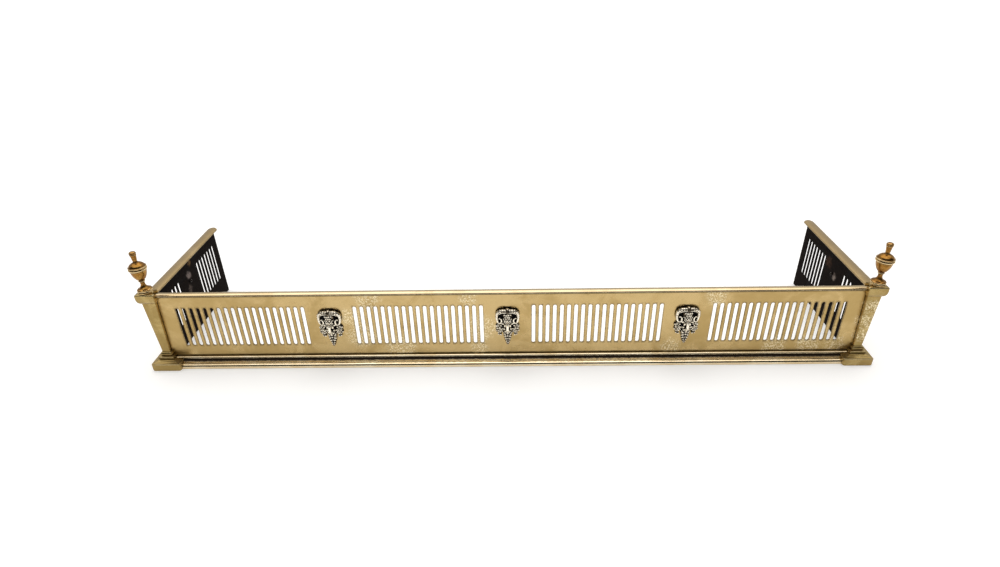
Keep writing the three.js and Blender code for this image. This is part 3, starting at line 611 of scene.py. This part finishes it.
# One level of a casting that wraps round the plates' corner: a rectangle with rounded outer corners,
# less what the plates and the rail take out of it.
def cornerLevel(z, span, roundness, tip=False):
    x0, x1, y0, y1 = span
    turn = np.linspace(0, math.pi / 2, post["cornerSteps"])
    left, right, near, far = x0 + roundness, x1 - roundness, y0 + roundness, y1 - roundness
    corners = []
    for cx, cy, start in ((left, near, math.pi), (right, near, 1.5 * math.pi), (right, far, 0)):
        angle = start + turn
        corners.append(np.stack([cx + roundness * np.cos(angle), cy + roundness * np.sin(angle)], -1))
    outline = np.vstack(corners + [innerSide(z, x0, y1, tip)])
    return np.column_stack([outline, np.full(len(outline), z)])


# Skins a stack of levels and closes both ends on a point inside; a counterbore can go into the foot.
# The side against the plates counts as partly hollow, the edge before it as rubbed.
def castingShell(levels, hollow, boreIn=False):
    grid = np.stack(levels)
    closeTop = np.broadcast_to((*post["heart"], grid[-1, 0, 2]), grid[-1:].shape)
    closeLow = [np.broadcast_to((*post["heart"], grid[0, 0, 2]), grid[:1].shape)]
    if boreIn:
        toRod = grid[0, :, :2] - post["rod"]
        angle = np.maximum.accumulate(np.unwrap(np.arctan2(toRod[:, 1], toRod[:, 0])))
        ring = post["bore"] * np.column_stack([np.cos(angle), np.sin(angle)]) + post["rod"]
        closeLow = [np.column_stack([ring, np.full(len(ring), z)])[None] for z in (post["boreDepth"], 0.0)]
        closeLow.insert(0, np.broadcast_to((*post["rod"], post["boreDepth"]), grid[:1].shape))
    rows = np.concatenate(closeLow + [grid, closeTop])
    values = np.repeat(np.concatenate([np.zeros(len(closeLow)), hollow, [0]])[:, None], grid.shape[1], 1)
    values[rows[:, 0, 2] < post["notchTop"] - 1, 3 * post["cornerSteps"]:-1] = post["innerDirt"]
    values[:, 0] = np.minimum(values[:, 0], 0) - post["rimRub"]
    return gridShell(rows, wrapColumns=True, hollow=values)


# Profiles against height. The base's and the cap's first number is the share of the way out to their
# faces, and the collar's is a reach in millimetres; the scales turn the shares into about millimetres.
baseScale, capScale = (15, 1), (6, 1)
baseProfile = subdivided(np.vstack([
    [(0.955, 0), (0.985, 0.5), (1, 1.6), (1, 12.8), (0.985, 13.9), (0.95, 14.4), (0.875, 14.6), (0.86, 14.9),
     (0.85, 15.4)],
    bend((0.85, 15.4), (0.64, 15.4), (0.5, 16.1), 8), [(0.49, 16.3), (0.48, 16.8)],
    bend((0.48, 16.8), (0.25, 17.0), (0.08, 18.0), 8)]) * baseScale, 0.5) / baseScale
collarProfile = subdivided(np.vstack([
    [(5.8, 18.3), (6.4, 18.8)], bend((6.4, 18.8), (8.6, 21.2), (5.7, 23.4), 10),
    [(3.0, 23.6), (2.4, 23.9), (2.4, 24.6)], bend((2.4, 24.6), (5.0, 28), (1.7, 31), 10),
    [(0.9, 31.3), (0.6, 31.7)]]), 0.4)
capProfile = subdivided(np.vstack([
    [(0.05, 138), (0.13, 138.1), (0.16, 138.5)], bend((0.16, 138.5), (0.78, 140.4), (0.95, 147), 14),
    [(1, 149.6), (1, 155.4)], bend((1, 155.4), (1, 157.6), (0.76, 158.5), 6)]) * capScale, 0.6) / capScale


# Faces of a level of the base: (1 - share) of the neck's plus share of the block's.
def baseSpan(share):
    neck = np.array(post["foot"]) + outward * post["neckReach"]
    return (1 - share) * neck + share * np.array(post["block"])


# Faces of a level of the collar: the shaft's foot with every side moved out by the reach.
def collarSpan(reach):
    return np.array(post["foot"]) + outward * reach


# Faces of a level of the shaft, which widens evenly: (1 - share) of its foot's plus share of its head's.
def shaftSpan(share):
    return (1 - share) * np.array(post["foot"]) + share * np.array(post["head"])


# Faces of a level of the cap: the shaft's head plus the share of each side's own reach.
def capSpan(share):
    return np.array(post["head"]) + share * np.array(post["capReach"])


# The cap's levels; where the notch's outline changes, a second level at the same height makes the ledge.
def capLevels():
    levels, hollow = [], []
    ledges = {post["tipFoot"]: False, post["notchTop"]: True}
    rows = [(z, share, value) for (share, z), value in zip(capProfile, profileHollow(capProfile * capScale))]
    for z, share in zip(ledges, np.interp(list(ledges), capProfile[:, 1], capProfile[:, 0])):
        rows += 2 * [(z, share, 0.0)]
    for z, share, value in sorted(rows):
        span, corner = capSpan(share), post["capCorner"]
        if z in ledges and levels[-1][0, 2] < z:
            levels.append(cornerLevel(z, span, corner, ledges[z]))
        elif z in ledges:
            levels.append(cornerLevel(z + 1e-6, span, corner, True) * (1, 1, 0) + (0, 0, z))
        else:
            levels.append(cornerLevel(z, span, corner, z > post["tipFoot"]))
        hollow.append(value)
    return levels, hollow


blockLevels = [cornerLevel(z, baseSpan(share), post["blockCorner" if z < post["blockTop"] else "neckCorner"])
               for share, z in baseProfile]
collarLevels = [cornerLevel(z, collarSpan(reach), post["collarCorner"]) for reach, z in collarProfile]
shaftLevels = [cornerLevel(post["shaftFoot"] + post["shaftHeight"] * t, shaftSpan(t), post["shaftCorner"])
               for t in np.linspace(0, 1, post["shaftSteps"])]
castings = [("Base", castingShell(blockLevels, profileHollow(baseProfile * baseScale), boreIn=True)),
            ("Collar", castingShell(collarLevels, profileHollow(collarProfile))),
            ("Shaft", castingShell(shaftLevels, np.zeros(post["shaftSteps"]))),
            ("Cap", castingShell(*capLevels()))]
for side, mirrored in sides:
    for word, shell in castings:
        makePiece(side + word, [shell], [castBrass], [f"{side}_post_{word.lower()}"],
                  mirrored=mirrored)
print("posts made")

plinth = dict(gap=0.3, steps=80, coveFoot=9.8, coveHeight=5.2, coveDirt=0.95)
plinthProfile = subdivided(np.vstack([
    [(0.3, 0.05), (17.9, 0.05), (18.4, 0.7), (18.5, 2.2)], bend((18.5, 2.2), (18.5, 7.7), (13.4, 8.6), 12),
    [(12.5, 8.7), (12.4, 9.7)], bend((12.4, 9.7), (5.4, 10), (4.5, 14.8), 12), [(4.3, 15.3)],
    bend((4.3, 15.3), (7.2, 17), (4.3, 18.5), 10), [(3.4, 18.8), (0.3, 18.8)]]), 0.5)
# Painted dark reflection and painted shade lie in the cove as sin(pi * share of its height)^0.6, and none of
# that on the moulding's back.
coveShare = np.clip((plinthProfile[:, 1] - plinth["coveFoot"]) / plinth["coveHeight"], 0, 1)
coveShare = coveShare * (plinthProfile[:, 0] > 1)
coveDirt = plinth["coveDirt"] * np.sin(math.pi * coveShare) ** 0.6
plinthHollow = np.maximum(profileHollow(plinthProfile), coveDirt)


# Where the moulding dies into the base: the base's near face at each height of the profile.
def baseFace(axis):
    share = np.interp(plinthProfile[:, 1], baseProfile[:, 1], baseProfile[:, 0])
    return baseSpan(0)[axis] * (1 - share) + baseSpan(1)[axis] * share


# A moulding between two ends: each point of the profile runs straight, (1-t) start + t end, and a flat
# face closes either end.
def mouldingShell(starts, ends, lift):
    t = np.linspace(0, 1, plinth["steps"])[:, None]
    along = starts[None] * (1 - t) + ends[None] * t
    reach, up = (np.broadcast_to(plinthProfile[:, i], along.shape) for i in (0, 1))
    body = gridShell(lift(np.stack([along, up, reach], -1)), wrapColumns=True, hollow=plinthHollow[None])
    count, total = len(plinthProfile), len(body["points"])
    body["faces"] += [list(range(count)), list(range(total - count, total))]
    return body


frontEnds = baseFace(0) - plinth["gap"]
makePiece("frontPlinth", [mouldingShell(-frontEnds, frontEnds, liftFront)], [plinthBrass],
          ["front_plinth_moulding"])
returnStarts = baseFace(3) + plinth["gap"]
returnMoulding = mouldingShell(returnStarts, np.full(len(returnStarts), plate["returnEnd"]), liftReturn)
for side, mirrored in sides:
    makePiece(side + "Plinth", [returnMoulding], [plinthBrass],
              [side + "_plinth_moulding"], mirrored=mirrored)
print("mouldings made")

finial = dict(foot=158.8, sides=64, hollowPasses=5, hollowReach=0.25)


# Turned piece: the profile of radius against height is carried round the rod's axis.
def turnedShell(profile):
    profile = subdivided(profile)
    angle = np.linspace(0, 2 * math.pi, finial["sides"], endpoint=False)
    r, z = profile[:, :1], profile[:, 1:]
    grid = np.stack([post["rod"][0] + r * np.cos(angle), post["rod"][1] + r * np.sin(angle),
                     np.broadcast_to(z + finial["foot"], (len(profile), len(angle)))], -1)
    hollow = profileHollow(profile, finial["hollowPasses"], finial["hollowReach"])
    return gridShell(grid, wrapColumns=True, hollow=hollow[:, None])


footRing = [(0, 0), (12.1, 0), *bend((12.1, 0), (13.8, 1.8), (12.1, 3.6), 10), (0, 3.6)]
urnBody = np.vstack([
    [(0, 3.8), (11.4, 3.8), (12.2, 4.2), (12.6, 5.1)],
    smoothRun([(12.4, 6.1), (11.3, 7.3), (8.1, 9.0), (5.1, 12.2), (3.8, 16.6), (4.3, 21.2)]), [(5.2, 21.8)],
    bend((5.2, 21.8), (6.1, 22.7), (5.2, 23.6), 4), [(4.7, 24)],
    smoothRun([(5.0, 24.3), (8.8, 28.8), (12.0, 36), (13.7, 44.2)], 8), [(13.4, 44.7), (14.1, 45)],
    bend((14.1, 45), (16.4, 46.6), (14.5, 49), 8), [(13.8, 49.2), (0, 49.2)]])
lidBody = np.vstack([
    [(0, 49.4), (13.9, 49.4)], bend((13.9, 49.4), (15.9, 50.4), (14.3, 51.7), 6), [(13.5, 52)],
    smoothRun([(13.3, 52.6), (11.4, 55.2), (8.0, 57.6), (4.7, 59.4), (3.6, 61.4), (3.9, 63.2), (4.1, 66),
               (4.7, 70.2), (5.6, 74.2)]), [(5.2, 74.9), (5.3, 75.3)],
    smoothRun([(5.8, 75.8), (5.8, 77.2), (4.6, 79), (2.4, 79.9), (0, 80)])])
turned = [("FootRing", "foot_ring", turnedShell(footRing)), ("Urn", "urn", turnedShell(urnBody)),
          ("Lid", "lid", turnedShell(lidBody))]
for side, mirrored in sides:
    for word, node, shell in turned:
        makePiece(side + word, [shell], [finialBrass], [f"{side}_finial_{node}"],
                  mirrored=mirrored)
print("finials made")

# Ram's masks, drawn face on: u to the right, v up from the mask's middle, w out from the plate.
mask = dict(middleZ=80.0, frontX=323.0, returnY=135.3, voxel=0.42, clearance=0.3, backDepth=1.9,
            backFoot=-0.5, studs=(24.0, -7.0), studRadius=1.5, studLength=6.4, studTop=1.2, studChamfer=0.5,
            studSides=16, cavityPasses=(14, 110), nearPlateShadeDepths=(1.2, 2.8, 9.0), nearPlateShadeShares=(0.9, 0.1, -0.1),
            pendantTop=(-16, -12), pendantGrime=(0.22, 0))


# Round form: centre plus radii times the unit sphere's point, turned in the plane of the mask.
def ball(centre, radii, turn=0.0, around=20, up=12):
    a = np.linspace(0, 2 * math.pi, around, endpoint=False)[None]
    b = np.linspace(-math.pi / 2, math.pi / 2, up)[:, None]
    u, v = radii[0] * np.cos(b) * np.cos(a), radii[1] * np.sin(b) * np.ones_like(a)
    w = radii[2] * np.cos(b) * np.sin(a)
    c, s = math.cos(math.radians(turn)), math.sin(math.radians(turn))
    return gridShell(np.stack([u * c - v * s, u * s + v * c, w], -1) + centre, wrapColumns=True)


# Tapering cord of metal: rings square to a smooth line, flattened towards the plate, with
# ripples cos(2 pi n t) in their radius where a horn has its growth rings.
def strand(points, radii, flat=1.0, ripples=0, depth=0.0, steps=6, around=12):
    line = smoothRun(points, steps)
    t = np.linspace(0, 1, len(line))
    along = np.gradient(line, axis=0)
    along /= np.linalg.norm(along, axis=1, keepdims=True)
    across = np.cross((0.0, 0.0, 1.0), along)
    across /= np.linalg.norm(across, axis=1, keepdims=True)
    out = np.cross(along, across)
    ripple = 1 + depth * np.cos(2 * math.pi * ripples * t)
    radius = np.interp(t, np.linspace(0, 1, len(radii)), radii) * ripple
    angle = np.linspace(0, 2 * math.pi, around, endpoint=False)
    rings = line[:, None] + radius[:, None, None] * (np.cos(angle)[None, :, None] * across[:, None]
                                                     + flat * np.sin(angle)[None, :, None] * out[:, None])
    tips = [np.broadcast_to(line[i] + way * radius[i] * along[i], rings[:1].shape)
            for i, way in ((0, -0.5), (-1, 0.5))]
    return gridShell(np.concatenate([tips[0], rings, tips[1]]), wrapColumns=True)


# Spiral curl: the line's distance from its centre shrinks evenly as it turns, size (1 - 0.75 t).
def curl(centre, size, start, turns, radius, lift=1.0):
    t = np.linspace(0, 1, 9)
    angle = np.radians(start) + turns * 2 * math.pi * t
    reach = size * (1 - 0.75 * t)
    points = np.stack([reach * np.cos(angle), reach * np.sin(angle), lift * t], -1) + centre
    return strand(points, [radius, radius, radius * 0.8, radius * 0.7], steps=4, around=8)


# The plate that carries the mask: one side's outline and its mirror image, between two depths.
def backShell():
    right = np.array([(0, 34), (8, 34), (14.5, 33), (18.6, 30.5), (21.2, 25), (20.8, 15), (18.8, 8.5),
                      (17.2, 6), (19.4, 3.4), (21.8, 0.6), (21.2, -4.4), (20.2, -9), (18.6, -13.2),
                      (15.4, -16.6), (11.4, -14.4), (8.8, -12.8), (8.4, -16), (7.4, -22), (5.6, -29),
                      (3.8, -35.5), (2.0, -40)])
    outline = np.vstack([right, (right * (-1, 1))[:0:-1]])
    levels = [np.column_stack([outline, np.full(len(outline), w)])
              for w in (mask["backFoot"], mask["backDepth"])]
    shell = gridShell(np.stack(levels), wrapColumns=True)
    count = len(outline)
    shell["faces"] += [list(range(count))[::-1], list(range(count, 2 * count))]
    return shell


# The forms that both sides of the mask have: drawn for the right and mirrored, u to -u, for the left.
def sideForms(side):
    # a place, a run of places and a curl on this side; a mirrored curl starts at 180 - start degrees
    def put(u, v, w):
        return side * u, v, w

    def line(*points):
        return [put(*point) for point in points]

    def scroll(centre, size, start, turns, radius):
        return curl(put(*centre), size, start if side > 0 else 180 - start, side * turns, radius)

    forms = [
        # horn: out from the crown, down the edge, and curling up and forward again
        strand(line((0.8, 33.2, 4.6), (7, 33.8, 5.0), (13.2, 32.6, 4.6), (17.8, 28.6, 4.0), (19.4, 22, 4.0),
                    (19.0, 15.5, 4.2), (16.6, 9.8, 5.2), (12.6, 9.2, 6.4), (10.8, 13.4, 7.2),
                    (11.6, 18.0, 7.4), (14.4, 19.6, 6.8), (15.6, 17.6, 6.2)),
               [4.0, 4.2, 4.2, 3.8, 2.9, 2.3, 2.0, 1.8, 1.6, 1.4, 1.1, 0.8],
               ripples=18, depth=0.035, steps=12, around=16),
        strand(line((0.6, 32.0, 8.4), (6.4, 32.4, 9.0), (12.0, 31.0, 8.2), (15.6, 27.4, 7)),
               [0.9, 1.1, 1.0, 0.5]),
        # ear, brow, eye and cheek
        strand(line((6.2, 7.6, 8.2), (8.6, 9.2, 8.8), (10.8, 11, 8.2), (12.6, 12.6, 6.8)),
               [0.9, 2.0, 1.7, 0.4], flat=0.55),
        strand(line((7.0, 8.6, 9.4), (9.4, 10.2, 9.6), (11.4, 11.8, 8.4)), [0.3, 0.5, 0.2],
               steps=4, around=8),
        strand(line((1.6, 13.6, 12.2), (3.8, 16.6, 11), (6.6, 19, 9.2), (8.8, 19.6, 7)),
               [0.9, 1.3, 1.2, 0.5]),
        strand(line((2.6, 11.4, 11.4), (4.6, 11.6, 9.8), (7.0, 13.6, 8.4)), [0.5, 0.9, 0.5]),
        ball(put(4.9, 14.6, 8.9), (1.5, 1.3, 1.5)),
        ball(put(4.4, 4.6, 7.6), (2.2, 4.0, 2.6), turn=side * 14),
        ball(put(1.9, -2.6, 13.2), (1.5, 1.3, 1.5)),
        ball(put(6.0, -3.0, 6.6), (2.3, 2.0, 2.2)),
        # small drops beside the pendant
        ball(put(6.2, -13.6, 3.2), (2.1, 2.2, 2.0)),
        ball(put(3.4, -11.0, 4.8), (1.7, 1.9, 1.9)),
        strand(line((2.2, -6.2, 9.6), (4.6, -8.0, 7.2), (7.0, -7.6, 5.0)), [0.6, 1.1, 0.5]),
    ]
    # swag of fruit, each a low ball at u, v, w with its radius, with scrolled leaves between and at the rim
    swag = [(12.6, -18.0, 2.4, 2.1), (16.4, -17.2, 1.9, 1.9), (12.2, 2.2, 3.2, 2.3), (16.2, 3.4, 3.0, 2.4),
            (19.4, 0.6, 2.6, 2.2), (14.0, -1.8, 4.6, 2.6), (18.2, -3.6, 3.4, 2.4), (12.0, -6.4, 3.8, 2.3),
            (15.8, -7.6, 4.2, 2.5), (18.8, -8.8, 2.6, 1.9), (13.4, -11.4, 3.0, 2.2), (16.8, -12.4, 2.6, 1.9),
            (14.8, -15.0, 1.9, 1.5), (9.4, -4.0, 4.2, 1.7), (9.8, -10.2, 2.8, 1.6)]
    forms += [ball(put(u, v, w), (r, r * 0.95, r * 0.95)) for u, v, w, r in swag]
    forms += [scroll((14.0, -1.8, 6.8), 2.2, 200, 1.3, 0.55), scroll((15.8, -7.6, 6.3), 2.0, 30, 1.2, 0.5),
              scroll((17.2, 2.6, 4.8), 2.4, 120, -1.2, 0.6),
              strand(line((17.6, 2.2, 2.4), (20.6, 2.0, 3.0), (21.4, -1.4, 2.2)), [0.6, 1.1, 0.5], flat=0.8),
              strand(line((19.6, -6.0, 2.0), (20.9, -8.6, 2.6), (19.4, -12.4, 1.8)), [0.6, 1.1, 0.5],
                     flat=0.8)]
    # leaves of the pendant: height, reach and thickness
    for v, reach, size in ((-16.4, 8.2, 2.2), (-21.8, 7.6, 2.2), (-27.2, 6.0, 1.9), (-32.4, 4.0, 1.4),
                           (-36.4, 2.6, 1.0)):
        leaf = line((0.7, v + 2.6, 4.2), (reach * 0.6, v + 0.6, 4.4), (reach, v - 2.4, 2.6))
        forms.append(strand(leaf, [0.7, size, 0.5], flat=0.8))
    return forms


crown = dict(middle=25.5, foot=2.2, radii=(9.2, 13.5, 8.6))


# Height of the crown's ball over the plate: foot + radius sqrt(1 - (u/radius)^2 - ((v - middle)/radius)^2).
def crownHeight(u, v):
    across, along, out = crown["radii"]
    remaining = 1 - (u / across) ** 2 - ((v - crown["middle"]) / along) ** 2
    return crown["foot"] + out * np.sqrt(np.maximum(0.02, remaining))


# All of a mask's forms: its back plate, the crown, muzzle, beard and pendant, the forehead's curls, and
# both sides.
def ramForms():
    forms = [
        backShell(),
        ball((0, crown["middle"], crown["foot"]), crown["radii"], around=32, up=20),
        strand([(0, 22, 7), (0, 16, 9.2), (0, 11, 10.2), (0, 6, 11.8), (0, 0, 12.8), (0, -3.4, 11.4)],
               [6.4, 4.6, 2.4, 2.7, 2.6, 3.0], flat=0.9, around=20),
        ball((0, -7.4, 9.4), (2.6, 1.4, 2.4)),
        ball((0, -9.8, 7.4), (2.2, 2.0, 2.2)),
        ball((0, -13.4, 5.4), (2.6, 2.4, 2.4)),
        strand([(0, -8, 4), (0, -14, 3.6), (0, -22, 3.4), (0, -31, 3.2), (0, -39.4, 1.8)],
               [2.6, 2.4, 1.5, 1.2, 1.0]),
        ball((0, -19.6, 4.8), (1.5, 2.5, 1.5)),
        ball((0, -26, 4.4), (1.2, 2.4, 1.3)),
        ball((0, -32, 3.9), (1.1, 2.2, 1.2)),
        ball((0, -38.2, 2.6), (1.9, 2.4, 1.8)),
    ]
    # rows of tight curls over the forehead: height, rise off the crown and places across
    for v, rise, columns in ((27.8, 0.4, (-5.0, -1.6, 1.8, 5.2)), (23.8, 1.2, (-3.2, 0.2, 3.4)),
                             (20.4, 2.2, (-2.0, 2.0)), (17.2, 4.6, (0,))):
        for i, u in enumerate(columns):
            centre = (u, v, float(crownHeight(u, v)) - 0.2 + rise)
            forms.append(curl(centre, 1.7, 90 + 60 * i, 1.25 if u <= 0 else -1.25, 0.62, lift=0.8))
    return forms + sideForms(1) + sideForms(-1)


# Melts the forms into one skin of small cells, slightly smoothed, and cuts it flat just off the plate.
def meltedForms():
    points, faces = joined(ramForms())
    rough = bpy.data.meshes.new("maskRough")
    rough.from_pydata((points * millimetre).tolist(), [], faces)
    weld(rough, dissolve=False)
    holder = bpy.data.objects.new("maskRough", rough)
    bpy.context.scene.collection.objects.link(holder)
    skin = holder.modifiers.new("skin", "REMESH")
    skin.mode, skin.voxel_size = "VOXEL", mask["voxel"] * millimetre
    soften = holder.modifiers.new("soften", "SMOOTH")
    soften.factor, soften.iterations = 0.5, 2
    made = bpy.data.meshes.new_from_object(holder.evaluated_get(bpy.context.evaluated_depsgraph_get()))
    bpy.data.objects.remove(holder)
    work = bmesh.new()
    work.from_mesh(made)
    cut = bmesh.ops.bisect_plane(work, geom=[*work.verts, *work.edges, *work.faces], plane_no=(0, 0, 1),
                                 plane_co=(0, 0, mask["clearance"] * millimetre), clear_inner=True)
    rim = [e for e in cut["geom_cut"] if isinstance(e, bmesh.types.BMEdge)]
    bmesh.ops.holes_fill(work, edges=rim, sides=0)
    work.to_mesh(made)
    work.free()
    return made


# The cast skin and how hollow it is: in each pass every point goes 0.6 of the way to the mean of its
# neighbours, and its way along its normal, over sqrt(passes / 28), is counted after few passes for
# narrow grooves and after many for broad hollows. Ground close to the plate gets painted shade, and the
# low pendant is made darker.
def castSkin():
    made = meltedForms()
    count = len(made.vertices)
    points, normals = np.empty(count * 3), np.empty(count * 3)
    edges = np.empty(len(made.edges) * 2, np.int64)
    made.vertices.foreach_get("co", points)
    made.vertices.foreach_get("normal", normals)
    made.edges.foreach_get("vertices", edges)
    points, normals, edges = points.reshape(-1, 3) * 1000, normals.reshape(-1, 3), edges.reshape(-1, 2)
    a, b = np.concatenate([edges[:, 0], edges[:, 1]]), np.concatenate([edges[:, 1], edges[:, 0]])
    neighbours = np.maximum(np.bincount(a, minlength=count), 1)[:, None]
    relaxed, hollow = points, np.zeros(count)
    for step in range(1, mask["cavityPasses"][-1] + 1):
        mean = np.stack([np.bincount(a, relaxed[b, axis], count) for axis in range(3)], -1) / neighbours
        relaxed = 0.4 * relaxed + 0.6 * mean
        if step in mask["cavityPasses"]:
            hollow += ((relaxed - points) * normals).sum(1) / math.sqrt(step / 28)
    # painted shade on the ground close to the plate, and the low pendant made darker
    hollow += (np.interp(points[:, 2], mask["nearPlateShadeDepths"], mask["nearPlateShadeShares"])
               + np.interp(points[:, 1], mask["pendantTop"], mask["pendantGrime"]))
    faces = [list(p.vertices) for p in made.polygons]
    bpy.data.meshes.remove(made)
    return dict(points=points, faces=faces, material=0, hollow=np.clip(hollow, -1, 1))


# Stud: a turned profile of radius against w, round a point at height v, chamfered at its far end.
def studShell(v):
    radius, end, chamfer = mask["studRadius"], -mask["studLength"], mask["studChamfer"]
    angle = np.linspace(0, 2 * math.pi, mask["studSides"], endpoint=False)
    rows = np.array([(0, end), (radius - chamfer, end), (radius, end + chamfer), (radius, mask["studTop"]),
                     (0, mask["studTop"])])
    grid = np.stack([rows[:, :1] * np.cos(angle), v + rows[:, :1] * np.sin(angle),
                     np.broadcast_to(rows[:, 1:], (len(rows), len(angle)))], -1)
    return gridShell(grid, wrapColumns=True)


nut = dict(acrossFlats=6.0, height=2.4, boreGap=0.1, plateGap=0.3, chamfer=0.35, boreChamfer=0.25,
           faceShare=1.02, steps=48)


# Hexagon nut: the flats' radius is half the width / cos(angle to the flat's middle), cut back by the
# chamfer at both faces.
def nutShell(v):
    angle = np.linspace(0, 2 * math.pi, nut["steps"], endpoint=False)
    flats = nut["acrossFlats"] / 2 / np.cos((angle + math.pi / 6) % (math.pi / 3) - math.pi / 6)
    face = np.minimum(flats, nut["acrossFlats"] / 2 * nut["faceShare"])
    bore = np.full(nut["steps"], mask["studRadius"] + nut["boreGap"])
    near = -plate["thickness"] - nut["plateGap"]
    far = near - nut["height"]
    rows = [(bore, near), (face, near), (flats, near - nut["chamfer"]), (flats, far + nut["chamfer"]),
            (face, far), (bore + nut["boreChamfer"], far), (bore, far + nut["boreChamfer"])]
    grid = np.stack([np.stack([r * np.cos(angle), v + r * np.sin(angle), np.full(len(angle), w)], -1)
                     for r, w in rows])
    return gridShell(grid, wrapRows=True, wrapColumns=True)


ramSkin = castSkin()
print("mask skin:", len(ramSkin["points"]), "points")

places = [(f"front_{word}_mask", "front" + word.capitalize(), liftFront, x, False)
          for word, x in (("left", -mask["frontX"]), ("centre", 0.0), ("right", mask["frontX"]))]
places += [(side + "_return_mask", side + "Return", liftReturn, mask["returnY"], mirrored)
           for side, mirrored in sides]
for node, name, lift, along, mirrored in places:
    # moves a shell from round the mask's middle to its place on the plate
    def placed(shell):
        return dict(shell, points=lift(shell["points"] + (along, mask["middleZ"], 0)))

    makePiece(name + "Ram", [placed(s) for s in [ramSkin, *map(studShell, mask["studs"])]], [maskBrass],
              [node], sharpAngle=70, mirrored=mirrored)
    for word, v in zip(("upper", "lower"), mask["studs"]):
        makePiece(f"{name}{word.capitalize()}Nut", [placed(nutShell(v))], [dullIron],
                  [f"{node}_{word}_nut"], sharpAngle=30, mirrored=mirrored)
print("masks made")

# The fixings that stay as they are: tie rods with their nuts and washers, and corner angles.
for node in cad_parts.values():
    if not node.hide_render:
        node.data.materials.clear()
        node.data.materials.append(dullIron)

studio = dict(floor=(0.86, 0.85, 0.835), floorHalf=9, floorZ=-0.0002, floorRough=0.9, floorGloss=0.1,
              floorGlow=0.3,
              room=[(0.0, 0.03), (0.84, 0.03), (0.93, 0.7), (1.0, 0.8)], skyTint=(1, 0.99, 0.965),
              wall=[(0.0, 0.35), (0.48, 0.5), (0.75, 0.8), (1.0, 0.8)], wallFrom=(-0.25, 0.1),
              surround=(0.74, 0.735, 0.72), skyStrength=1.35, sunEnergy=1.4, sunAngle=80,
              sunTravel=(0.05, -0.08, -1), sensorMm=36.0, lensMm=22.607, pitch=30.079, yaw=1.422,
              roll=-1.326, eye=(11.52, -952.02, 719.73))

half, floorZ = studio["floorHalf"], studio["floorZ"]
floorMesh = bpy.data.meshes.new("hearthGround")
floorMesh.from_pydata([(x * half, y * half, floorZ) for x, y in ((-1, -1), (1, -1), (1, 1), (-1, 1))], [],
                      [(0, 1, 2, 3)])
ground = bpy.data.objects.new("hearthGround", floorMesh)
bpy.context.scene.collection.objects.link(ground)
groundPaint = bpy.data.materials.new("palePaper")
groundPaint.use_nodes = True
paper = groundPaint.node_tree.nodes["Principled BSDF"].inputs
paper["Base Color"].default_value = (*studio["floor"], 1)
paper["Roughness"].default_value = studio["floorRough"]
paper["Specular IOR Level"].default_value = studio["floorGloss"]
paper["Emission Color"].default_value = (1, 1, 1, 1)
paper["Emission Strength"].default_value = studio["floorGlow"]
floorMesh.materials.append(groundPaint)

world = bpy.data.worlds.new("studio")
bpy.context.scene.world = world
world.use_nodes = True
sky = world.node_tree
towards = addNode(sky, "SeparateXYZ", {"Vector": addNode(sky, "TexCoord").outputs["Generated"]}).outputs


# Brightness of the sky against height, straight between the given stops.
def skyRamp(stops):
    ramp = addNode(sky, "ValToRGB", {"Fac": towards["Z"]})
    while len(ramp.color_ramp.elements) < len(stops):
        ramp.color_ramp.elements.new(0.5)
    for element, (position, level) in zip(ramp.color_ramp.elements, stops):
        element.position = position
        element.color = (*(level * part for part in studio["skyTint"]), 1)
    return ramp.outputs["Color"]


# A dark room in front of the fender, a bright wall behind it and a bright ceiling over both. The camera
# itself sees a plain pale surround.
behind = spread(sky, towards["Y"], *studio["wallFrom"])
light = mixColour(sky, behind, skyRamp(studio["room"]), skyRamp(studio["wall"]))
seen = addNode(sky, "LightPath").outputs["Is Camera Ray"]
backdrop = sky.nodes["Background"].inputs
sky.links.new(mixColour(sky, seen, light, studio["surround"]), backdrop["Color"])
backdrop["Strength"].default_value = studio["skyStrength"]

sun = bpy.data.lights.new("softSun", "SUN")
sun.energy, sun.angle = studio["sunEnergy"], math.radians(studio["sunAngle"])
sunHolder = bpy.data.objects.new("softSun", sun)
bpy.context.scene.collection.objects.link(sunHolder)
sunHolder.rotation_euler = Vector(studio["sunTravel"]).to_track_quat("-Z", "Y").to_euler()

# The camera looks down by the pitch, turned left by the yaw and tilted by the roll.
camera = bpy.data.cameras.new("viewpoint")
camera.sensor_width, camera.lens = studio["sensorMm"], studio["lensMm"]
viewer = bpy.data.objects.new("viewpoint", camera)
bpy.context.scene.collection.objects.link(viewer)
pitch, yaw, roll = (math.radians(studio[key]) for key in ("pitch", "yaw", "roll"))
level = Vector((math.cos(yaw), math.sin(yaw), 0))
upright = Vector((-math.sin(pitch) * math.sin(yaw), math.sin(pitch) * math.cos(yaw), math.cos(pitch)))
forward = Vector((-math.cos(pitch) * math.sin(yaw), math.cos(pitch) * math.cos(yaw), -math.sin(pitch)))
right = math.cos(roll) * level + math.sin(roll) * upright
up = -math.sin(roll) * level + math.cos(roll) * upright
turn = Matrix((right, up, -forward)).transposed().to_4x4()
eye = Vector(studio["eye"]) * millimetre + Vector((0, depthShift * millimetre, 0))
viewer.matrix_world = Matrix.Translation(eye) @ turn
bpy.context.scene.camera = viewer
bpy.context.scene.view_settings.view_transform = "Standard"
print("studio made")
